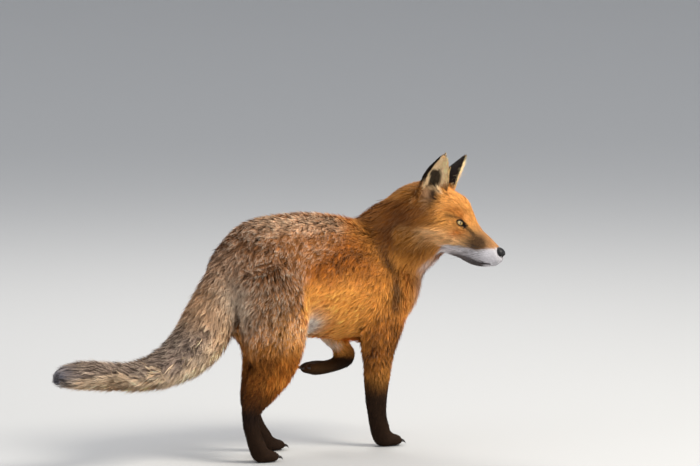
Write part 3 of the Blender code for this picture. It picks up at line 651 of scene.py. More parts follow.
def dye_ears_and_paint_shade(hair, at, paint):
    """Black backs, cream edges, a dark hollow behind the cream hair of the front edge (dark skin with
    painted shade of the cup), and painted shade at the ear's mouth.
    """
    share, across, inward, on_ear = ear_facts(at.points, at.normals)
    share = share + 0.05 * patches(at.points, 0.006, 6)
    across = across + 0.06 * patches(at.points, 0.005, 7)
    back = on_ear * ramp(0.05, -0.20, inward) * ramp(0.06, 0.24, share)
    strip = on_ear * ramp(0.48, 0.60, across) * ramp(0.05, 0.25, share)
    inner = on_ear * ramp(-0.15, 0.15, inward)
    # Soot in the hollow is partly the ear's dark skin and partly painted shade of the cup; soot at the ear's
    # mouth is painted shade.
    hollow = inner * ramp(-0.16, 0.12, across - np.interp(share, *HOLLOW_FRONT))
    hollow = hollow * ramp(0.08, -0.08, across - np.interp(share, *HOLLOW_REAR)) * ramp(0.64, 0.50, share)
    mouth = np.clip(1.7 * blot(at.folded_head, EAR_MOUTH_SHADE, (1.0, 1.2, 1.4)), 0, 1) * ramp(0.30, 0.15, share)
    edges = on_ear * (0.25 * ramp(-0.70, -0.92, across) + 0.4 * ramp(0.84, 0.95, share))
    hair.dye_and_paint_light(paint["cream"] * 1.5, inner * 0.95, root=1, shaft=1, tip=0.95)
    hair.dye_and_paint_light(paint["soot"], np.maximum(hollow, mouth) * 0.95, root=1, shaft=1, tip=0.95)
    hair.dye_and_paint_light(paint["fawn"], edges, root=1, shaft=1, tip=1)
    hair.dye_and_paint_light(paint["soot"], np.maximum(back, strip), root=1, shaft=1, tip=0.95)


def coat_colours(points, normals, weights):
    """Colours of the hair at each point: near the skin, on the shaft and at the tip."""
    paint = {name: np.array(getattr(settings(), name)) for name in COLOURS}
    at = Sites(points, normals, weights)
    hair = HairColours(np.tile(paint["orange"], (len(points), 1)))
    for dye_and_paint_light in (dye_front_and_paint_light, dye_saddle_and_paint_light, dye_legs, dye_tail, dye_head_and_paint_shade, dye_muzzle_and_paint_shade):
        dye_and_paint_light(hair, at, paint)
    hair.scale("root", "shaft", "tip", by=1 + 0.09 * at.rough + 0.06 * at.fine)
    dye_ears_and_paint_shade(hair, at, paint)
    return hair.root, hair.shaft, hair.tip


# ---------------------------------------------------------------- materials

def new_material(name, roughness, base=None, **sockets):
    """(material, nodes, links, shader); a socket's name has underscores for its spaces."""
    material = bpy.data.materials.new(name)
    material.use_nodes = True
    nodes, links = material.node_tree.nodes, material.node_tree.links
    shader = nodes["Principled BSDF"]
    shader.inputs["Roughness"].default_value = roughness
    if base:
        shader.inputs["Base Color"].default_value = (*base, 1)
    for socket, value in sockets.items():
        shader.inputs[socket.replace("_", " ")].default_value = value
    return material, nodes, links, shader


def fur_material(name, attribute, grain, bump):
    """Fur whose colour is painted on its corners, streaked by a fine noise."""
    material, nodes, links, shader = new_material(name, 0.70, Specular_IOR_Level=0.08)
    painted = nodes.new("ShaderNodeAttribute")
    painted.attribute_name = attribute
    place = nodes.new("ShaderNodeTexCoord")
    noise = nodes.new("ShaderNodeTexNoise")
    noise.inputs["Scale"].default_value = grain
    noise.inputs["Detail"].default_value = 3.0
    links.new(place.outputs["Object"], noise.inputs["Vector"])
    spread = nodes.new("ShaderNodeMapRange")
    spread.inputs["To Min"].default_value = 0.72
    spread.inputs["To Max"].default_value = 1.28
    links.new(noise.outputs["Fac"], spread.inputs["Value"])
    shade = nodes.new("ShaderNodeMix")
    shade.data_type = "RGBA"
    shade.blend_type = "MULTIPLY"
    shade.inputs["Factor"].default_value = 1.0
    links.new(painted.outputs["Color"], shade.inputs["A"])
    links.new(spread.outputs["Result"], shade.inputs["B"])
    links.new(shade.outputs["Result"], shader.inputs["Base Color"])
    if bump:
        relief = nodes.new("ShaderNodeBump")
        relief.inputs["Strength"].default_value = bump
        relief.inputs["Distance"].default_value = 0.001
        links.new(noise.outputs["Fac"], relief.inputs["Height"])
        links.new(relief.outputs["Normal"], shader.inputs["Normal"])
    return material


# ---------------------------------------------------------------- skin

MOUTH = ((7.55, 0.10, -4.50), (7.0, 1.05, -4.75), (5.1, 1.75, -5.15), (3.0, 2.25, -5.2),
         (1.1, 2.75, -4.9))


BROW = ((0.75, 2.45, 0.62), (-0.35, 2.95, 1.0), (-1.4, 3.35, 0.95))
UNDER_EYE = ((0.4, 2.95, -0.95), (-0.8, 3.5, -0.75))


def nose_distance(head):
    """1 on the edge of the nose's pad, less inside it."""
    return np.linalg.norm((head - np.array(NOSE_PLACE)) / NOSE_SIZES, axis=1)


def mouth_distance(head):
    """Distance from the line of the mouth, the same on both sides."""
    return line_distance(folded(head), MOUTH)


def copy_nodes(name, nodes):
    """One closed mesh of the given solids, let out a little so that they overlap."""
    deselect()
    copies = []
    for node in nodes:
        source = frame["nodes"][node]
        copy = bpy.data.objects.new(name, source.data.copy())
        bpy.context.scene.collection.objects.link(copy)
        copies.append(copy)
    for copy in copies:
        copy.select_set(True)
    bpy.context.view_layer.objects.active = copies[0]
    if len(copies) > 1:
        bpy.ops.object.join()
    made = bpy.context.view_layer.objects.active
    made.name = made.data.name = name
    made.data.materials.clear()
    for layer in list(made.data.uv_layers):
        made.data.uv_layers.remove(layer)
    bpy.ops.object.mode_set(mode="EDIT")
    bpy.ops.mesh.select_all(action="SELECT")
    bpy.ops.mesh.remove_doubles(threshold=0.00002)
    bpy.ops.object.mode_set(mode="OBJECT")
    apply_modifier(made, "DISPLACE", strength=0.0003, mid_level=0.0)
    return made


def keep_outer(obj):
    """Drops the closed bubbles that a remesh can leave inside the body."""
    points = corners_of(obj.data)
    pick(obj)
    bpy.ops.object.mode_set(mode="EDIT")
    bpy.ops.mesh.select_mode(type="VERT")
    bpy.ops.mesh.select_all(action="DESELECT")
    bpy.ops.object.mode_set(mode="OBJECT")
    obj.data.vertices[int(points[:, 2].argmax())].select = True
    bpy.ops.object.mode_set(mode="EDIT")
    bpy.ops.mesh.select_linked()
    bpy.ops.mesh.select_all(action="INVERT")
    bpy.ops.mesh.delete(type="VERT")
    bpy.ops.object.mode_set(mode="OBJECT")


def sink(obj, depth_of, steps, smoothing):
    """Moves the surface inwards by depth_of(points), in small steps that keep it smooth."""
    mesh = obj.data
    points, faces, edges = corners_of(mesh), triangles_of(mesh), edges_of(mesh)
    for _ in range(smoothing):
        points = relaxed(points, edges, 0.5)
    depth = depth_of(points)
    for _ in range(steps):
        points = points - vertex_normals(points, faces) * (depth / steps)[:, None]
        points = relaxed(points, edges, 0.35)
    mesh.vertices.foreach_set("co", points.ravel())
    mesh.update()


def toe_furrows(points):
    """0 to 1 in the furrows between the toes."""
    body = world_to_body(points)
    depth = np.zeros(len(body))
    for placing in PAWS:
        inverse = np.array(paw_frame(*placing).inverted())
        forward, across, high = (body @ inverse[:3, :3].T + inverse[:3, 3]).T
        near = (np.abs(forward - 2.5) < 2.5) & (np.abs(across) < 2.6) & (np.abs(high - 1.0) < 1.6)
        lines = sum(bell(across, middle, 0.20) for middle in (-0.96, 0.0, 0.96))
        depth += near * lines * ramp(1.5, 2.5, forward)
    return depth


def shape_folds(points, normals):
    """Folds of mouth, lips and brows, the hollow before each eye, the split below the nose, the toes."""
    head = world_to_head(points)
    folded = np.stack([head[:, 0], np.abs(head[:, 1]), head[:, 2]], 1)
    away = mouth_distance(head)
    front = ramp(0.4, 1.6, head[:, 0])
    rise = (0.07 * np.exp(-((away - 0.32) / 0.18) ** 2) - 0.16 * np.exp(-(away / 0.13) ** 2)) * front
    rise += 0.20 * along_line(folded, BROW, 0.42)
    rise += 0.08 * along_line(folded, UNDER_EYE, 0.35)
    rise -= 0.10 * blot(folded, (1.3, 2.2, -0.5), (0.5, 0.5, 0.4))
    rise += 0.10 * blot(folded, (4.9, 1.8, -3.6), (1.5, 0.9, 0.9))
    split = np.exp(-(head[:, 1] / 0.07) ** 2) * ramp(6.9, 7.3, head[:, 0]) * ramp(-3.1, -3.5, head[:, 2])
    rise -= 0.05 * split * ramp(-4.7, -4.3, head[:, 2])
    rise -= 0.24 * toe_furrows(points)
    head = world_to_head(points + normals * (rise * CM)[:, None])
    head[:, 0] -= 0.9 * ramp(1.0, 0.75, nose_distance(head))
    for _, side in SIDES:
        centre = np.array((EYE_FORWARD, EYE_APART * side, 0.0))
        near = lid_distance(head, side)
        near = np.where(np.linalg.norm(head - centre, axis=1) < 2.2, near, 9.0)
        far = np.linalg.norm(head - centre, axis=1)
        sunk = np.clip(far - (EYE_RADIUS - 0.12), 0, None) * ramp(1.22, 1.0, near)
        swollen = np.clip(EYE_RADIUS + 0.05 - far, 0, None) * ramp(1.0, 1.22, near) * ramp(5.0, 3.4, near)
        head = head + unit(head - centre) * (swollen - sunk)[:, None]
    return head_to_world(head)


def make_skin():
    s = settings()
    grain = s.skin_grain * 1
    skin = copy_nodes("skin", FLESH + EYES)
    apply_modifier(skin, "REMESH", mode="VOXEL", voxel_size=grain)
    keep_outer(skin)

    def coat_depth(points):
        return zone_sizes(zone_weights(points))[0]

    sink(skin, coat_depth, 8, 6)
    points = corners_of(skin.data)
    normals = vertex_normals(points, triangles_of(skin.data))
    skin.data.vertices.foreach_set("co", shape_folds(points, normals).ravel())
    skin.data.update()
    faces_now = 2 * len(skin.data.polygons)
    if faces_now > s.skin_faces:
        group = skin.vertex_groups.new(name="thin_here")
        head = world_to_head(corners_of(skin.data))
        spare = np.where((head[:, 0] < -6) | (np.linalg.norm(head, axis=1) > 14))[0]
        group.add(spare.tolist(), 1.0, "REPLACE")
        apply_modifier(skin, "DECIMATE", ratio=s.skin_faces / faces_now,
                       vertex_group=group.name)
        skin.vertex_groups.clear()
    lobes = make_ear_skins()
    pick(skin)
    for lobe in lobes:
        lobe.select_set(True)
    bpy.ops.object.join()
    pick(skin)
    bpy.ops.object.shade_smooth()
    bpy.ops.object.mode_set(mode="EDIT")
    bpy.ops.mesh.select_all(action="SELECT")
    bpy.ops.uv.smart_project(angle_limit=math.radians(66), island_margin=0.002)
    bpy.ops.object.mode_set(mode="OBJECT")
    paint_skin(skin)
    finish_piece(skin, fur_material("skin_fur", "markings_and_painted_light", 900.0, 0.6), "fur_orange", *FLESH, *EARS)
    return skin


EAR_ROOT, EAR_TIP = np.array((-6.3, 3.6, 2.6)), np.array((-6.2, 5.7, 10.2))
EAR_OPENS = np.array((0.62, 0.74, 0.0))
EAR_FRONT = np.array(((-4.4, 3.0, 3.6), (-4.6, 4.4, 2.6), (-5.6, 5.4, 1.6)))
# Middle of the ear's mouth at the floor of the cup, where painted shade is laid.
EAR_MOUTH_SHADE = (-5.4, 4.3, 3.2)
EAR_HALF_WIDTHS = ((0.0, 0.4, 0.8, 1.0), (2.5, 2.45, 1.2, 0.3))


def make_ear_skins():
    """Ears inside the solids, with their roots drawn down into the head."""
    lobes = []
    for (_, side), node in zip(SIDES, EARS):
        lobe = copy_nodes(node + "_skin", (node,))
        apply_modifier(lobe, "REMESH", mode="VOXEL", voxel_size=0.0011)
        sink(lobe, lambda points: np.full(len(points), 0.0010), 2, 4)
        points = corners_of(lobe.data)
        share = ear_facts(points)[0]
        head = world_to_head(points)
        head -= unit((EAR_TIP - EAR_ROOT) * (1, side, 1)) * (ramp(0.28, 0.0, share) * 1.4)[:, None]
        lobe.data.vertices.foreach_set("co", head_to_world(head).ravel())
        lobe.data.update()
        lobes.append(lobe)
    return lobes


def ear_facts(points, normals=None):
    """(share up the ear, place across it from -1 in front to 1 behind, facing into the cup, on an ear)."""
    head = world_to_head(points)
    side = np.where(head[:, 1:2] > 0, 1.0, -1.0)
    mirror = np.concatenate([np.ones_like(side), side, np.ones_like(side)], 1)
    folded = head * mirror
    axis = EAR_TIP - EAR_ROOT
    share = (folded - EAR_ROOT) @ axis / (axis @ axis)
    across = (folded - EAR_ROOT) @ unit(np.cross(axis, EAR_OPENS)) / np.interp(share, *EAR_HALF_WIDTHS)
    away, _ = distance_to_line(folded, EAR_ROOT, EAR_TIP)
    inward = 0 * share if normals is None else ((normals @ TURN) * mirror) @ unit(EAR_OPENS)
    low = 0.10 - 0.10 * ramp(-0.1, 0.3, inward) * ramp(2.5, 2.0, away)
    on_ear = ramp(low, low + 0.14, share) * ramp(4.0, 3.2, away)
    return share, across, inward, on_ear


def paint_skin(skin):
    mesh = skin.data
    points = corners_of(mesh)
    normals = vertex_normals(points, triangles_of(mesh))
    weights = zone_weights(points)
    root, shaft, _ = coat_colours(points, normals, weights)
    tones = shaft * 0.75
    lips = np.exp(-(mouth_distance(world_to_head(points)) / 0.24) ** 4)
    head = world_to_head(points)
    pad = ramp(1.12, 1.0, nose_distance(head))
    for _, side in SIDES:
        near = np.linalg.norm(head - np.array((EYE_FORWARD, EYE_APART * side, 0.0)), axis=1) < 2.2
        pad = np.maximum(pad, ramp(1.55, 1.30, lid_distance(head, side)) * near)
    tones = mix(tones, np.array(settings().soot) * 0.6, np.maximum(np.clip(lips * 1.3, 0, 1), pad))
    paint_points(mesh, "markings_and_painted_light", tones)


# ---------------------------------------------------------------- eyes, nose, claws, whiskers

EYE_RADIUS = 0.92
IRIS_ANGLE = 0.80
PUPIL = (0.085, 0.40)
# Rings of the lids: (size beside the opening, rise over ball and skin, share of the black rim).
LIDS = ((0.88, -0.06, 1), (0.95, 0.02, 1), (1.04, 0.07, 1), (1.18, 0.08, 1), (1.38, 0.05, 1),
        (1.58, -0.02, 0.6), (1.8, -0.14, 0.2))
LID_HALF_LENGTH, LID_HALF_HEIGHT = 0.76, 0.43
TEAR_CORNER = 0.34


def eye_axes(side):
    """Facing, towards the inner corner, and up, in the head's frame."""
    facing = Vector((0.74, 0.67 * side, 0.03)).normalized()
    inner = Vector((0.67, -0.74 * side, -0.20))
    inner = (inner - inner.dot(facing) * facing).normalized()
    up = facing.cross(inner) * (1 if side < 0 else -1)
    return facing, inner, up


def make_eyes():
    s = settings()
    material, nodes, links, shader = new_material(
        "eye_glass", 0.16, Coat_Weight=1.0, Coat_Roughness=0.02, Specular_IOR_Level=0.6)
    painted = nodes.new("ShaderNodeAttribute")
    painted.attribute_name = "iris"
    links.new(painted.outputs["Color"], shader.inputs["Base Color"])
    made = []
    for word, side in SIDES:
        deselect()
        bpy.ops.mesh.primitive_uv_sphere_add(segments=96, ring_count=72, radius=EYE_RADIUS * CM,
                                             location=(0, 0, 0))
        eye = bpy.context.object
        eye.name = eye.data.name = f"eyeball_{word}"
        facing, inner, up = eye_axes(side)
        turn = Matrix((inner, up, facing)).transposed()
        points = corners_of(eye.data) / (EYE_RADIUS * CM)
        angle = np.arccos(np.clip(points[:, 2], -1, 1))
        bulge = 1 + 0.04 * np.exp(-(angle / 0.55) ** 2)
        tall = np.array(turn).T @ np.array((-0.05, 0.0, 1.0))
        tall = tall[:2] / np.hypot(*tall[:2])
        sideways, lengthways = points[:, :2] @ (tall[1], -tall[0]), points[:, :2] @ tall
        slit = (sideways / PUPIL[0]) ** 2 + (lengthways / PUPIL[1]) ** 2
        around = np.arctan2(points[:, 1], points[:, 0])
        streak = 1 + 0.16 * np.sin(around * 23) * np.sin(around * 9 + 1)
        tones = np.tile(np.array(s.iris), (len(points), 1)) * streak[:, None]
        tones = mix(tones, np.array(s.iris) * (0.50, 0.34, 0.22), ramp(0.45, 0.74, angle))
        # Painted shadow of the upper lid: the eye is darker towards its top.
        tones = tones * (1 - 0.6 * ramp(0.05, 0.38, points[:, 1]))[:, None]
        tones = mix(tones, np.full(3, 0.004), ramp(1.25, 0.85, slit))
        tones = mix(tones, np.full(3, 0.008), ramp(IRIS_ANGLE - 0.05, IRIS_ANGLE + 0.02, angle))
        paint_points(eye.data, "iris", tones)
        centre = (EYE_FORWARD, EYE_APART * side, 0.0)
        placed = (points * bulge[:, None] * EYE_RADIUS) @ np.array(turn).T + centre
        eye.data.vertices.foreach_set("co", head_to_world(placed).ravel())
        pick(eye)
        bpy.ops.object.mode_set(mode="EDIT")
        bpy.ops.mesh.select_all(action="SELECT")
        bpy.ops.mesh.normals_make_consistent(inside=False)
        bpy.ops.object.mode_set(mode="OBJECT")
        bpy.ops.object.shade_smooth()
        finish_piece(eye, material, "eye_amber", f"eye_{word}")
        made.append(eye)
    return made


def ring_mesh(name, rings, closed_ends=False):
    """A mesh object through rings of points given in metres, each the same length."""
    body = bmesh.new()
    loops = [[body.verts.new(p) for p in ring] for ring in rings]
    count = len(loops[0])
    for first, second in zip(loops, loops[1:]):
        for k in range(count):
            after = (k + 1) % count
            body.faces.new((first[k], first[after], second[after], second[k]))
    if closed_ends:
        body.faces.new(loops[0])
        body.faces.new(loops[-1])
    bmesh.ops.recalc_face_normals(body, faces=body.faces)
    for face in body.faces:
        face.smooth = True
    mesh = bpy.data.meshes.new(name)
    body.to_mesh(mesh)
    body.free()
    obj = bpy.data.objects.new(name, mesh)
    bpy.context.scene.collection.objects.link(obj)
    return obj


def lid_outline(scale, angles):
    """Half-round below, flatter above, drawn out to a point at the inner corner."""
    along = LID_HALF_LENGTH * scale * np.cos(angles)
    high = LID_HALF_HEIGHT * scale * np.sign(np.sin(angles)) * np.abs(np.sin(angles)) ** 1.25
    corner = TEAR_CORNER * ramp(0.7, 1.0, np.cos(angles)) * min(scale, 1.0)
    return along + corner, high - 0.4 * corner


def skin_distance(tree, centre, way):
    """Centimetres from a place in the head to the skin over it."""
    start = Vector(head_to_world(centre))
    hit = tree.ray_cast(start, HEAD_ROTATION @ Vector(way))
    return hit[3] / CM if hit[0] else 0.0


def make_lids(hide):
    material = fur_material("lid_skin", "markings_and_painted_light", 900.0, 0.5)
    tree = BVHTree.FromPolygons(corners_of(hide.data).tolist(), triangles_of(hide.data).tolist())
    for word, side in SIDES:
        facing, inner, up = (np.array(axis) for axis in eye_axes(side))
        centre = np.array((EYE_FORWARD, EYE_APART * side, 0.0))
        rings, rims = [], []
        angles = np.linspace(0, math.tau, 72, endpoint=False)
        for scale, lift, rim in LIDS:
            along, high = lid_outline(scale, angles)
            ways = unit(facing + (along[:, None] * inner + high[:, None] * up) / EYE_RADIUS)
            hood = 0.07 * np.clip(np.sin(angles), 0, 1) * (scale > 1)
            out = np.full(len(angles), EYE_RADIUS + 0.03)
            if scale > 0.9:
                skin = np.array([skin_distance(tree, centre, way) for way in ways])
                out = np.maximum(out, skin + 0.04)
            rings.append(head_to_world(centre + ways * (out + lift + hood)[:, None]))
            below = np.clip(-np.sin(angles), 0, 1) * ramp(1.1, 1.5, scale)
            rims.append(rim * (1 - 0.8 * below))
        lid = ring_mesh(f"lids_{word}", rings)
        points = corners_of(lid.data)
        normals = vertex_normals(points, triangles_of(lid.data))
        tones = coat_colours(points, normals, zone_weights(points))[1] * 0.8
        tones = mix(tones, np.array(settings().soot) * 0.5, np.concatenate(rims))
        paint_points(lid.data, "markings_and_painted_light", tones)
        finish_piece(lid, material, "nose_leather")


NOSE_PLACE = (7.62, 0.0, -2.55)
NOSE_SIZES = (1.02, 1.15, 1.0)


def make_nose():
    material, nodes, links, shader = new_material(
        "nose_skin", 0.42, Specular_IOR_Level=0.28, Coat_Weight=0.06, Coat_Roughness=0.25)
    shader.inputs["Base Color"].default_value = (0.004, 0.0035, 0.004, 1)
    place = nodes.new("ShaderNodeTexCoord")
    cells = nodes.new("ShaderNodeTexVoronoi")
    cells.inputs["Scale"].default_value = 1900.0
    relief = nodes.new("ShaderNodeBump")
    relief.inputs["Strength"].default_value = 0.45
    relief.inputs["Distance"].default_value = 0.0003
    links.new(place.outputs["Object"], cells.inputs["Vector"])
    links.new(cells.outputs["Distance"], relief.inputs["Height"])
    links.new(relief.outputs["Normal"], shader.inputs["Normal"])
    deselect()
    bpy.ops.mesh.primitive_uv_sphere_add(segments=128, ring_count=96, radius=1.0, location=(0, 0, 0))
    nose = bpy.context.object
    nose.name = nose.data.name = "nose_pad"
    points = corners_of(nose.data)
    squared = np.sign(points) * np.abs(points) ** 0.88
    head = squared * NOSE_SIZES
    side = np.abs(head[:, 1])
    front = ramp(-0.1, 0.35, head[:, 0])
    hole = np.exp(-((side - 0.43) / 0.17) ** 2 - ((head[:, 2] + 0.02) / 0.21) ** 2)
    wing = np.exp(-((side - 0.72) / 0.20) ** 2 - ((head[:, 2] - 0.10) / 0.35) ** 2)
    slit = np.exp(-((head[:, 2] + 0.10 + 0.30 * (side - 0.45)) / 0.085) ** 2) * ramp(0.42, 0.6, side)
    groove = np.exp(-(head[:, 1] / 0.06) ** 2) * ramp(0.35, -0.1, head[:, 2])
    head[:, 0] += front * (0.10 * wing - 0.55 * hole - 0.13 * slit - 0.10 * groove)
    head[:, 1] -= np.sign(head[:, 1]) * slit * ramp(-0.5, 0.0, head[:, 0]) * 0.20
    head[:, 1] *= 1 - 0.40 * ramp(-0.15, -1.0, head[:, 2])
    head[:, 0] -= 0.34 * ramp(0.1, -1.0, head[:, 2]) + 0.12 * ramp(0.5, 1.0, head[:, 2])
    nose.data.vertices.foreach_set("co", head_to_world(head + NOSE_PLACE).ravel())
    pick(nose)
    bpy.ops.object.mode_set(mode="EDIT")
    bpy.ops.mesh.select_all(action="SELECT")
    bpy.ops.mesh.normals_make_consistent(inside=False)
    bpy.ops.object.mode_set(mode="OBJECT")
    bpy.ops.object.shade_smooth()
    finish_piece(nose, material, "nose_leather")
    return nose


# Paws: (pad place, way of the toes, way up, size)
PAWS = (
    ((14.9, -3.0, 0.0), (1, 0, 0), (0, 0, 1), 1.0),
    ((-13.4, -5.3, 0.0), (1, 0, 0), (0, 0, 1), 0.94),
    ((-4.3, 5.0, 0.0), (1, 0, 0), (0, 0, 1), 0.94),
    ((5.6, 4.0, 14.9), (-1, 0, -0.04), (0, 0, -1), 1.0),
)
CLAW_ROOTS = ((3.35, 0.5, 0.85), (3.35, -0.5, 0.85), (2.65, 1.42, 0.8), (2.65, -1.42, 0.8))


def paw_frame(pad_place, toes_to, upward, size):
    forward = Vector(toes_to).normalized()
    side = Vector(upward).cross(forward).normalized()
    turn = Matrix((forward, side, forward.cross(side))).transposed().to_4x4()
    return Matrix.Translation(pad_place) @ turn @ Matrix.Scale(size, 4)


def make_claws():
    material, nodes, links, shader = new_material("claw_horn", 0.35, Specular_IOR_Level=0.5)
    shader.inputs["Base Color"].default_value = (*linear(0.14, 0.11, 0.10), 1)
    claws = []
    for number, placing in enumerate(PAWS):
        place = paw_frame(*placing)
        for toe, (forward, across, high) in enumerate(CLAW_ROOTS):
            rings = []
            for share in np.linspace(0, 1, 7):
                middle = np.array((forward + 0.95 * share, across * (1 + 0.05 * share),
                                   high + 0.22 * share - 0.75 * share ** 2))
                radius = 0.17 * (1 - share) ** 0.7 + 0.012
                angles = np.linspace(0, math.tau, 10, endpoint=False)
                rings.append([place @ Vector((middle[0], middle[1] + radius * 0.7 * math.cos(a),
                                              middle[2] + radius * math.sin(a))) for a in angles])
            rings = [[Vector(body_to_world(p)) for p in ring] for ring in rings]
            claws.append(ring_mesh(f"claw_{number}_{toe}", rings, closed_ends=True))
    deselect()
    for claw in claws:
        claw.select_set(True)
    bpy.context.view_layer.objects.active = claws[0]
    bpy.ops.object.join()
    made = bpy.context.view_layer.objects.active
    made.name = made.data.name = "claws"
    finish_piece(made, material, "nose_leather")


def make_whiskers():
    material, nodes, links, shader = new_material("whisker_hair", 0.4)
    shader.inputs["Base Color"].default_value = (*linear(0.10, 0.08, 0.07), 1)
    rng = np.random.default_rng(5)
    strands = []
    angles = np.linspace(0, math.tau, 4, endpoint=False)
    for _, side in SIDES:
        for number, root in enumerate(WHISKER_ROOTS * (1, side, 1)):
            row, place = divmod(number, WHISKERS_IN_ROW)
            back = WHISKERS_IN_ROW - 1 - place
            way = unit(np.array((-0.75 - 0.10 * back, 0.9 * side, -0.10 - 0.16 * row))
                       + rng.normal(0, 0.07, 3))
            length = (2.6 + 0.75 * back) * rng.uniform(0.8, 1.15)
            first = unit(np.cross(way, (0, 0, 1.0)))
            second = np.cross(way, first)
            rings = []
            for share in np.linspace(0, 1, 7):
                centre = root + way * length * share + np.array((-0.5, 0, -0.6)) * share ** 2
                radius = 0.020 * (1 - share) + 0.004
                rings.append([Vector(head_to_world(centre + radius * (first * math.cos(a)
                              + second * math.sin(a)))) for a in angles])
            strands.append(ring_mesh("whisker", rings, closed_ends=True))
    deselect()
    for strand in strands:
        strand.select_set(True)
    bpy.context.view_layer.objects.active = strands[0]
    bpy.ops.object.join()
    made = bpy.context.view_layer.objects.active
    made.name = made.data.name = "whiskers"
    finish_piece(made, material, "nose_leather")


# ---------------------------------------------------------------- coat

STATIONS = np.array((0.0, 0.36, 0.70, 1.0))
TUFT_PATCH = 0.003
COAT_PIECES = 8
PLAIN_HAIR = 0.95          # hairs shorter than this, in centimetres, have one quad less


def skin_samples(skin, count, rng):
    """Places on the skin, evenly spread by the density of the hair: (points, normals, map places)."""
    mesh = skin.data
    points, faces = corners_of(mesh), triangles_of(mesh)
    normals = vertex_normals(points, faces)
    loops = np.empty(len(mesh.loop_triangles) * 3, np.int32)
    mesh.loop_triangles.foreach_get("loops", loops)
    maps = np.empty(len(mesh.loops) * 2)
    mesh.uv_layers.active.data.foreach_get("uv", maps)
    maps = maps.reshape(-1, 2)[loops.reshape(-1, 3)]
    corners = points[faces]
    area = np.linalg.norm(np.cross(corners[:, 1] - corners[:, 0], corners[:, 2] - corners[:, 0]), axis=1) / 2
    middles = corners.mean(1)
    weights = zone_weights(middles)
    width = zone_sizes(weights)[2]
    thickness = hair_density(middles, normals[faces].mean(1), weights, width)
    total = np.cumsum(area * thickness)
    spots = (np.arange(count) + rng.random(count)) / count * total[-1]
    chosen = np.minimum(np.searchsorted(total, spots), len(faces) - 1)
    first, second = rng.random(count), rng.random(count)
    over = first + second > 1
    first[over], second[over] = 1 - first[over], 1 - second[over]
    shares = np.stack([1 - first - second, first, second], 1)[:, :, None]
    return ((corners[chosen] * shares).sum(1), unit((normals[faces][chosen] * shares).sum(1)),
            (maps[chosen] * shares).sum(1))


def hair_density(points, normals, weights, width):
    """Hairs for a unit of skin, up to a common factor; none on the nose, the eyes and the lips."""
    dense = (0.0013 / np.maximum(width, 0.0003)) ** 0.9
    head = world_to_head(points)
    u, v, w = head.T
    lip = 0.12 + 0.16 * (w < edge_at([(row[0], row[2]) for row in MOUTH], u))
    dense = dense * (nose_distance(head) > 1.02) * (mouth_distance(head) > lip * ramp(0.6, 1.8, u))
    for _, side in SIDES:
        far = np.linalg.norm(head - np.array((EYE_FORWARD, EYE_APART * side, 0.0)), axis=1)
        dense = dense * ((lid_distance(head, side) > 1.32) | (far > 2.2))
    _, across, inward, on_ear = ear_facts(points, normals)
    dense = dense * (1 - 0.8 * on_ear * (inward > 0.1) * (np.abs(across - 0.18) < 0.33))
    soles = world_to_body(points)[:, 2] < 0.25
    return dense * ~soles


def lid_distance(head, side):
    """1 on the edge of the lids' opening, less inside it and more outside."""
    facing, inner, up = (np.array(axis) for axis in eye_axes(side))
    away = head - np.array((EYE_FORWARD, EYE_APART * side, 0.0))
    out = away @ facing
    along, high = (away @ axis * EYE_RADIUS / np.maximum(out, 0.01) for axis in (inner, up))
    stretch = np.where(along > 0, LID_HALF_LENGTH + TEAR_CORNER, LID_HALF_LENGTH)
    near = np.sqrt((along / stretch) ** 2 + (high / LID_HALF_HEIGHT) ** 2)
    return np.where(out > 0.1, near, 9.0)


def hair_lengths(points, normals, length):
    """Short round the eyes, long on the front edges inside the ears."""
    head = world_to_head(points)
    for _, side in SIDES:
        away = np.linalg.norm(head - np.array((EYE_FORWARD, EYE_APART * side, 0.0)), axis=1)
        length = length * (0.55 + 0.45 * ramp(1.1, 2.2, away))
    share, across, inward, on_ear = ear_facts(points, normals)
    middle = ramp(0.14, 0.32, share)
    fringe = on_ear * (inward > 0.0) * ramp(-0.1, -0.5, across) * ramp(0.95, 0.6, share) * middle
    rear = on_ear * ramp(0.5, 0.8, across) * ramp(-0.3, 0.1, inward) * ramp(0.8, 0.5, share) * middle
    before = np.exp(-(nearest_distance(np.stack([head[:, 0], np.abs(head[:, 1]), head[:, 2]], 1),
                                       EAR_FRONT) / 1.3) ** 2) * (1 - on_ear)
    length = length * (1 - 0.45 * on_ear * ramp(0.16, 0.04, share))
    return length * (1 + 1.6 * fringe + 1.0 * rear - 0.35 * on_ear * (inward < 0) - 0.6 * before)


def trace_locks(points, normals, tree, rng):
    """The middle line of each lock, led over the skin in a slight wave: (lock, station, xyz)."""
    weights = zone_weights(points)
    depth, length, _, _, curl = zone_sizes(weights)
    length = hair_lengths(points, normals, length)
    paths = [points]
    place = points.copy()
    flow = lie(points, normals, weights)
    rise = settings().fullness * depth * np.minimum(length / zone_sizes(weights)[1], 1)
    on_ear = ramp(0.2, 0.8, ear_facts(points, normals)[3])
    phase = rng.uniform(0, math.tau, len(points))
    swing = 0.13 * curl * length * rng.uniform(0.4, 1.3, len(points))
    for number, (before, after) in enumerate(zip(STATIONS, STATIONS[1:])):
        place = place + flow * ((after - before) * length)[:, None]
        near, ways = np.empty_like(place), np.empty_like(place)
        for k, spot in enumerate(place):
            found, normal, _, _ = tree.find_nearest(spot)
            near[k], ways[k] = found, normal
        near, ways = mix(near, place, on_ear), mix(ways, normals, on_ear)
        place = near + ways * (rise * after ** 0.75)[:, None]
        flow = lie(near, ways, zone_weights(near)) * 0.6 + flow * 0.4
        flow = unit(flow - (flow * ways).sum(1, keepdims=True) * ways)
        wave = (swing * np.sin(phase + 2.6 * number))[:, None] * np.cross(ways, flow)
        paths.append(place + wave)
    return np.stack(paths, 1)


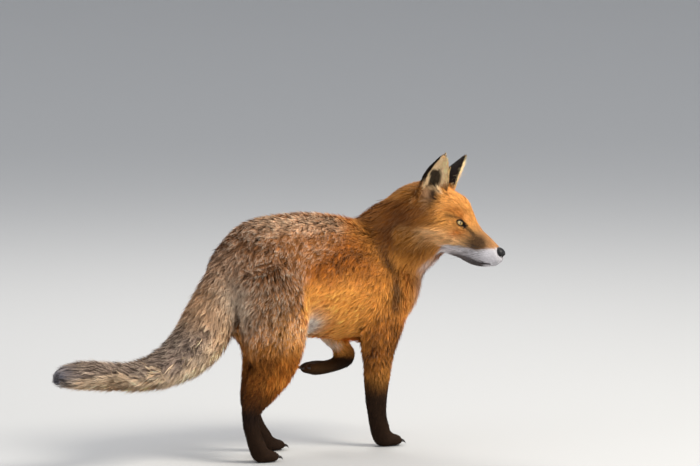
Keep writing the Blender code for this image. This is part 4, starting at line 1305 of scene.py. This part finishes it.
def make_coat(skin):
    s = settings()
    rng = np.random.default_rng(11)
    count = s.hairs // 1
    lock_count = int(count / s.hairs_per_lock)
    points, normals, maps = skin_samples(skin, count, rng)
    count = len(points)
    locks, lock_normals, _ = skin_samples(skin, lock_count, rng)
    tree = BVHTree.FromPolygons(corners_of(skin.data).tolist(), triangles_of(skin.data).tolist())
    paths = trace_locks(locks, lock_normals, tree, rng)
    finder = KDTree(len(locks))
    for k, place in enumerate(locks):
        finder.insert(place, k)
    finder.balance()
    weights = zone_weights(points)
    _, length, width, _, curl = zone_sizes(weights)
    owner = np.array([finder.find(place)[1] for place in points])
    # Each hair follows its lock and leans towards the lock's middle.
    gone = paths[owner] - paths[owner][:, :1]
    offset = points - locks[owner]
    reach = rng.uniform(0.72, 1.12, count)[:, None, None]
    lying = rng.uniform(0.45, 1.08, count)[:, None]
    gone = gone * reach
    lifted = (gone * normals[:, None, :]).sum(2)
    gone = gone - normals[:, None, :] * (lifted * (1 - lying))[:, :, None]
    calm = 1 - 0.4 * zone_share(weights, "muzzle", "face", "eyelid", "jaw", "crown")
    pull = s.clumping * (0.7 + 0.5 * curl) * calm * rng.uniform(0.5, 1.2, count)
    pull = pull[:, None, None] * STATIONS[None, :, None] ** 1.2
    spine = points[:, None, :] + gone - offset[:, None, :] * pull
    frizz = rng.normal(0, 1, (count, 1, 3)) * (length * 0.045)[:, None, None]
    spine = spine + frizz * (STATIONS ** 1.5)[None, :, None]
    spine[:, 0] -= normals * 0.0008
    spread = np.linalg.norm(np.diff(spine, axis=1), axis=2).sum(1)
    kept = spread < 1.7 * hair_lengths(points, normals, length) + 0.002
    along = unit(np.gradient(spine, axis=1))
    out = normals[:, None, :]
    across = unit(np.cross(along, out))
    roll = rng.normal(0, 0.42, count)[:, None, None]
    across = across * np.cos(roll) + np.cross(along, across) * np.sin(roll)
    facing = unit(np.cross(across, along))
    facing = facing * np.sign((facing * out).sum(2, keepdims=True))
    shading = unit(0.32 * facing + 0.68 * out)
    half = (width * rng.uniform(0.75, 1.25, count) / 2)[:, None] * np.array((0.85, 1.0, 0.72, 0.0))
    left = spine - across * half[:, :, None]
    right = spine + across * half[:, :, None]
    root, shaft, tip = coat_colours(points, normals, weights)
    bright = (1 + rng.normal(0, 0.10, count))[:, None]
    per_lock = (1 + rng.normal(0, 1, len(locks))[owner] * (0.05 + 0.24 * curl))[:, None]
    tones = [root, root * 0.35 + shaft * 0.65, shaft, tip]
    tones = np.stack([np.clip(tone * bright * per_lock, 0.002, 0.95) for tone in tones], 1)
    material = fur_material("coat_fur", "markings_and_painted_light", 500.0, 0.0)
    order = rng.permutation(np.where(kept)[0])
    plain = length[order] < PLAIN_HAIR * CM
    for number in range(COAT_PIECES):
        mine = order[number::COAT_PIECES]
        short = plain[number::COAT_PIECES]
        groups = [(left[k][:, stations], right[k][:, stations], shading[k][:, stations],
                   tones[k][:, stations], maps[k])
                  for k, stations in ((mine[short], (0, 2, 3)), (mine[~short], (0, 1, 2, 3)))]
        piece = hair_mesh(f"coat_{number + 1}", groups)
        finish_piece(piece, material, "fur_orange")


def hair_mesh(name, groups):
    """Tapered hairs of quads that end in a triangle; the hairs of one group have as many stations."""
    points, loops, sizes, normals, tones, spots = [], [], [], [], [], []
    first = 0
    for left, right, shading, colours, maps in groups:
        count, steps = left.shape[:2]
        corners = 2 * steps - 1
        pairs = np.stack([left, right], 2).reshape(count, 2 * steps, 3)
        points.append(pairs[:, :corners].reshape(-1, 3))
        quads = np.array([(2 * k, 2 * k + 1, 2 * k + 3, 2 * k + 2) for k in range(steps - 2)]).ravel()
        pattern = np.append(quads, (corners - 3, corners - 2, corners - 1))
        loops.append((first + np.arange(count)[:, None] * corners + pattern).ravel())
        sizes.append(np.tile((4,) * (steps - 2) + (3,), count))
        station = np.arange(corners) // 2
        normals.append(shading[:, station].reshape(-1, 3))
        tones.append(colours[:, station].reshape(-1, 3))
        place = np.stack([np.where(np.arange(corners) % 2, 1.0, -1.0), station / (steps - 1) * 2 - 1], 1)
        place[-1, 0] = 0
        spots.append((maps[:, None, :] + place * (TUFT_PATCH / 2)).reshape(-1, 2))
        first += count * corners
    points, loops, sizes = np.concatenate(points), np.concatenate(loops), np.concatenate(sizes)
    mesh = bpy.data.meshes.new(name)
    mesh.vertices.add(len(points))
    mesh.vertices.foreach_set("co", points.astype(np.float32).ravel())
    mesh.loops.add(len(loops))
    mesh.loops.foreach_set("vertex_index", loops.astype(np.int32))
    mesh.polygons.add(len(sizes))
    mesh.polygons.foreach_set("loop_start", (np.cumsum(sizes) - sizes).astype(np.int32))
    mesh.update(calc_edges=True)
    mesh.validate()
    paint_points(mesh, "markings_and_painted_light", np.concatenate(tones))
    uv = mesh.uv_layers.new(name="OFBake")
    uv.data.foreach_set("uv", np.concatenate(spots)[loops].astype(np.float32).ravel())
    mesh.polygons.foreach_set("use_smooth", np.ones(len(sizes), bool))
    mesh.normals_split_custom_set_from_vertices(np.concatenate(normals).astype(np.float32))
    obj = bpy.data.objects.new(name, mesh)
    bpy.context.scene.collection.objects.link(obj)
    return obj


# ---------------------------------------------------------------- stage

CAMERA_AIM = (8.4, -1.6, 37.5)
CAMERA_AZIMUTH, CAMERA_HEIGHT = -38.0, 6.0
CAMERA_DISTANCE = 9.0
PICTURE_WIDTH = 1.207


# Lights round the fox: (name, azimuth, height, distance, size, watts, colour).
LIGHTS = (
    ("key_light", 20.0, 45.0, 3.6, 1.4, 145.0, (1.0, 0.94, 0.83)),
    ("fill_light", -95.0, 25.0, 4.0, 2.5, 20.0, (0.95, 0.97, 1.0)),
    ("rim_light", 150.0, 50.0, 3.6, 1.6, 65.0, (1.0, 0.96, 0.90)),
    ("catch_light", -4.0, 3.0, 3.0, 0.35, 5.0, (1.0, 1.0, 1.0)),
)
PAPER_WIDTH, PAPER_HEIGHT, PAPER_BEND = 48.0, 16.0, 5.0
PAPER_NEAR, PAPER_FAR = -24.0, 18.0


def make_backdrop():
    """A wide sheet of paper that bends up behind the fox."""
    deselect()
    bpy.ops.mesh.primitive_plane_add(size=1, location=(0, 0, 0))
    floor = bpy.context.object
    floor.name = floor.data.name = "studio_floor"
    turn = Matrix.Rotation(math.radians(CAMERA_AZIMUTH), 4, "Z")
    bend_start = PAPER_FAR - PAPER_BEND
    profile = [(PAPER_NEAR, 0.0), (bend_start, 0.0)]
    profile += [(bend_start + PAPER_BEND * math.sin(a), PAPER_BEND - PAPER_BEND * math.cos(a))
                for a in np.linspace(0.1, math.pi / 2, 14)]
    profile += [(PAPER_FAR, PAPER_HEIGHT)]
    sheet = bmesh.new()
    rows = [[sheet.verts.new(turn @ Vector((side * PAPER_WIDTH / 2, y, z))) for side in (-1, 1)]
            for y, z in profile]
    for first, second in zip(rows, rows[1:]):
        sheet.faces.new((first[0], first[1], second[1], second[0]))
    for face in sheet.faces:
        face.smooth = True
    sheet.to_mesh(floor.data)
    sheet.free()
    floor.data.materials.append(new_material("studio_paper", 0.9, (0.47, 0.475, 0.48))[0])


def aim_at_fox(name, data, azimuth, height, distance):
    """Adds a light or a camera that looks at the middle of the picture."""
    obj = bpy.data.objects.new(name, data)
    bpy.context.scene.collection.objects.link(obj)
    away = outward(azimuth, height)
    obj.location = Vector(body_to_world(CAMERA_AIM)) + away * distance
    obj.rotation_euler = (-away).to_track_quat("-Z", "Y").to_euler()
    return obj


def make_stage():
    make_backdrop()
    world = bpy.data.worlds.new("studio_air")
    bpy.context.scene.world = world
    world.use_nodes = True
    world.node_tree.nodes["Background"].inputs["Color"].default_value = (0.94, 0.96, 1.0, 1)
    world.node_tree.nodes["Background"].inputs["Strength"].default_value = 0.80
    for name, azimuth, height, distance, size, watts, tint in LIGHTS:
        light = bpy.data.lights.new(name, "AREA")
        light.energy, light.size, light.color = watts, size, tint
        aim_at_fox(name, light, azimuth, height, distance)
    camera = aim_at_fox("camera", bpy.data.cameras.new("camera"), CAMERA_AZIMUTH, CAMERA_HEIGHT,
                        CAMERA_DISTANCE)
    camera.data.sensor_width = 36.0
    camera.data.lens = camera.data.sensor_width * CAMERA_DISTANCE / PICTURE_WIDTH
    camera.data.clip_end = 100.0
    bpy.context.scene.camera = camera
    bpy.context.scene.view_settings.view_transform = "Standard"


def outward(azimuth, height):
    """The way from the fox to a watcher; at azimuth 0 the watcher looks along +Y."""
    azimuth, height = math.radians(azimuth), math.radians(height)
    return Vector((math.sin(azimuth) * math.cos(height), -math.cos(azimuth) * math.cos(height),
                   math.sin(height)))


# ---------------------------------------------------------------- operators

class FOX_OT_skin(bpy.types.Operator):
    """Skin of the whole animal, inside the solids by the depth of the coat"""
    bl_idname = "fox.skin"
    bl_label = "Skin"

    def execute(self, context):
        make_skin()
        return {"FINISHED"}


class FOX_OT_eyes(bpy.types.Operator):
    """Eyeballs with slit pupils, and the lids round them"""
    bl_idname = "fox.eyes"
    bl_label = "Eyes and lids"

    def execute(self, context):
        make_eyes()
        make_lids(bpy.data.objects["skin"])
        return {"FINISHED"}


class FOX_OT_nose(bpy.types.Operator):
    """Leathery pad of the nose with its nostrils"""
    bl_idname = "fox.nose"
    bl_label = "Nose"

    def execute(self, context):
        make_nose()
        return {"FINISHED"}


class FOX_OT_claws(bpy.types.Operator):
    """Claws of the four paws"""
    bl_idname = "fox.claws"
    bl_label = "Claws"

    def execute(self, context):
        make_claws()
        return {"FINISHED"}


class FOX_OT_whiskers(bpy.types.Operator):
    """Whiskers on both sides of the muzzle"""
    bl_idname = "fox.whiskers"
    bl_label = "Whiskers"

    def execute(self, context):
        make_whiskers()
        return {"FINISHED"}


class FOX_OT_coat(bpy.types.Operator):
    """Coat of tapered hairs in locks that lie along the body"""
    bl_idname = "fox.coat"
    bl_label = "Coat"

    def execute(self, context):
        make_coat(bpy.data.objects["skin"])
        return {"FINISHED"}


class FOX_OT_stage(bpy.types.Operator):
    """Pale floor, soft light and camera"""
    bl_idname = "fox.stage"
    bl_label = "Stage"

    def execute(self, context):
        make_stage()
        return {"FINISHED"}


OPERATORS = (FOX_OT_skin, FOX_OT_eyes, FOX_OT_nose, FOX_OT_claws, FOX_OT_whiskers, FOX_OT_coat,
             FOX_OT_stage)


class FOX_PT_panel(bpy.types.Panel):
    """Lists the fox's operators and settings."""
    bl_idname = "FOX_PT_panel"
    bl_label = "Red Fox"
    bl_space_type = "VIEW_3D"
    bl_region_type = "UI"
    bl_category = "Red Fox"

    def draw(self, context):
        for operator in OPERATORS:
            self.layout.operator(operator.bl_idname)
        for name in FoxCoatSettings.__annotations__:
            self.layout.prop(context.scene.fox_coat, name)


CLASSES = (FoxCoatSettings, *OPERATORS, FOX_PT_panel)


def register():
    for item in CLASSES:
        bpy.utils.register_class(item)
    bpy.types.Scene.fox_coat = PointerProperty(type=FoxCoatSettings)


def unregister():
    del bpy.types.Scene.fox_coat
    for item in reversed(CLASSES):
        bpy.utils.unregister_class(item)


def main():
    register()
    for operator in OPERATORS:
        getattr(bpy.ops.fox, operator.bl_idname.split(".")[1])()
    deselect()


if __name__ == "__main__":
    main()
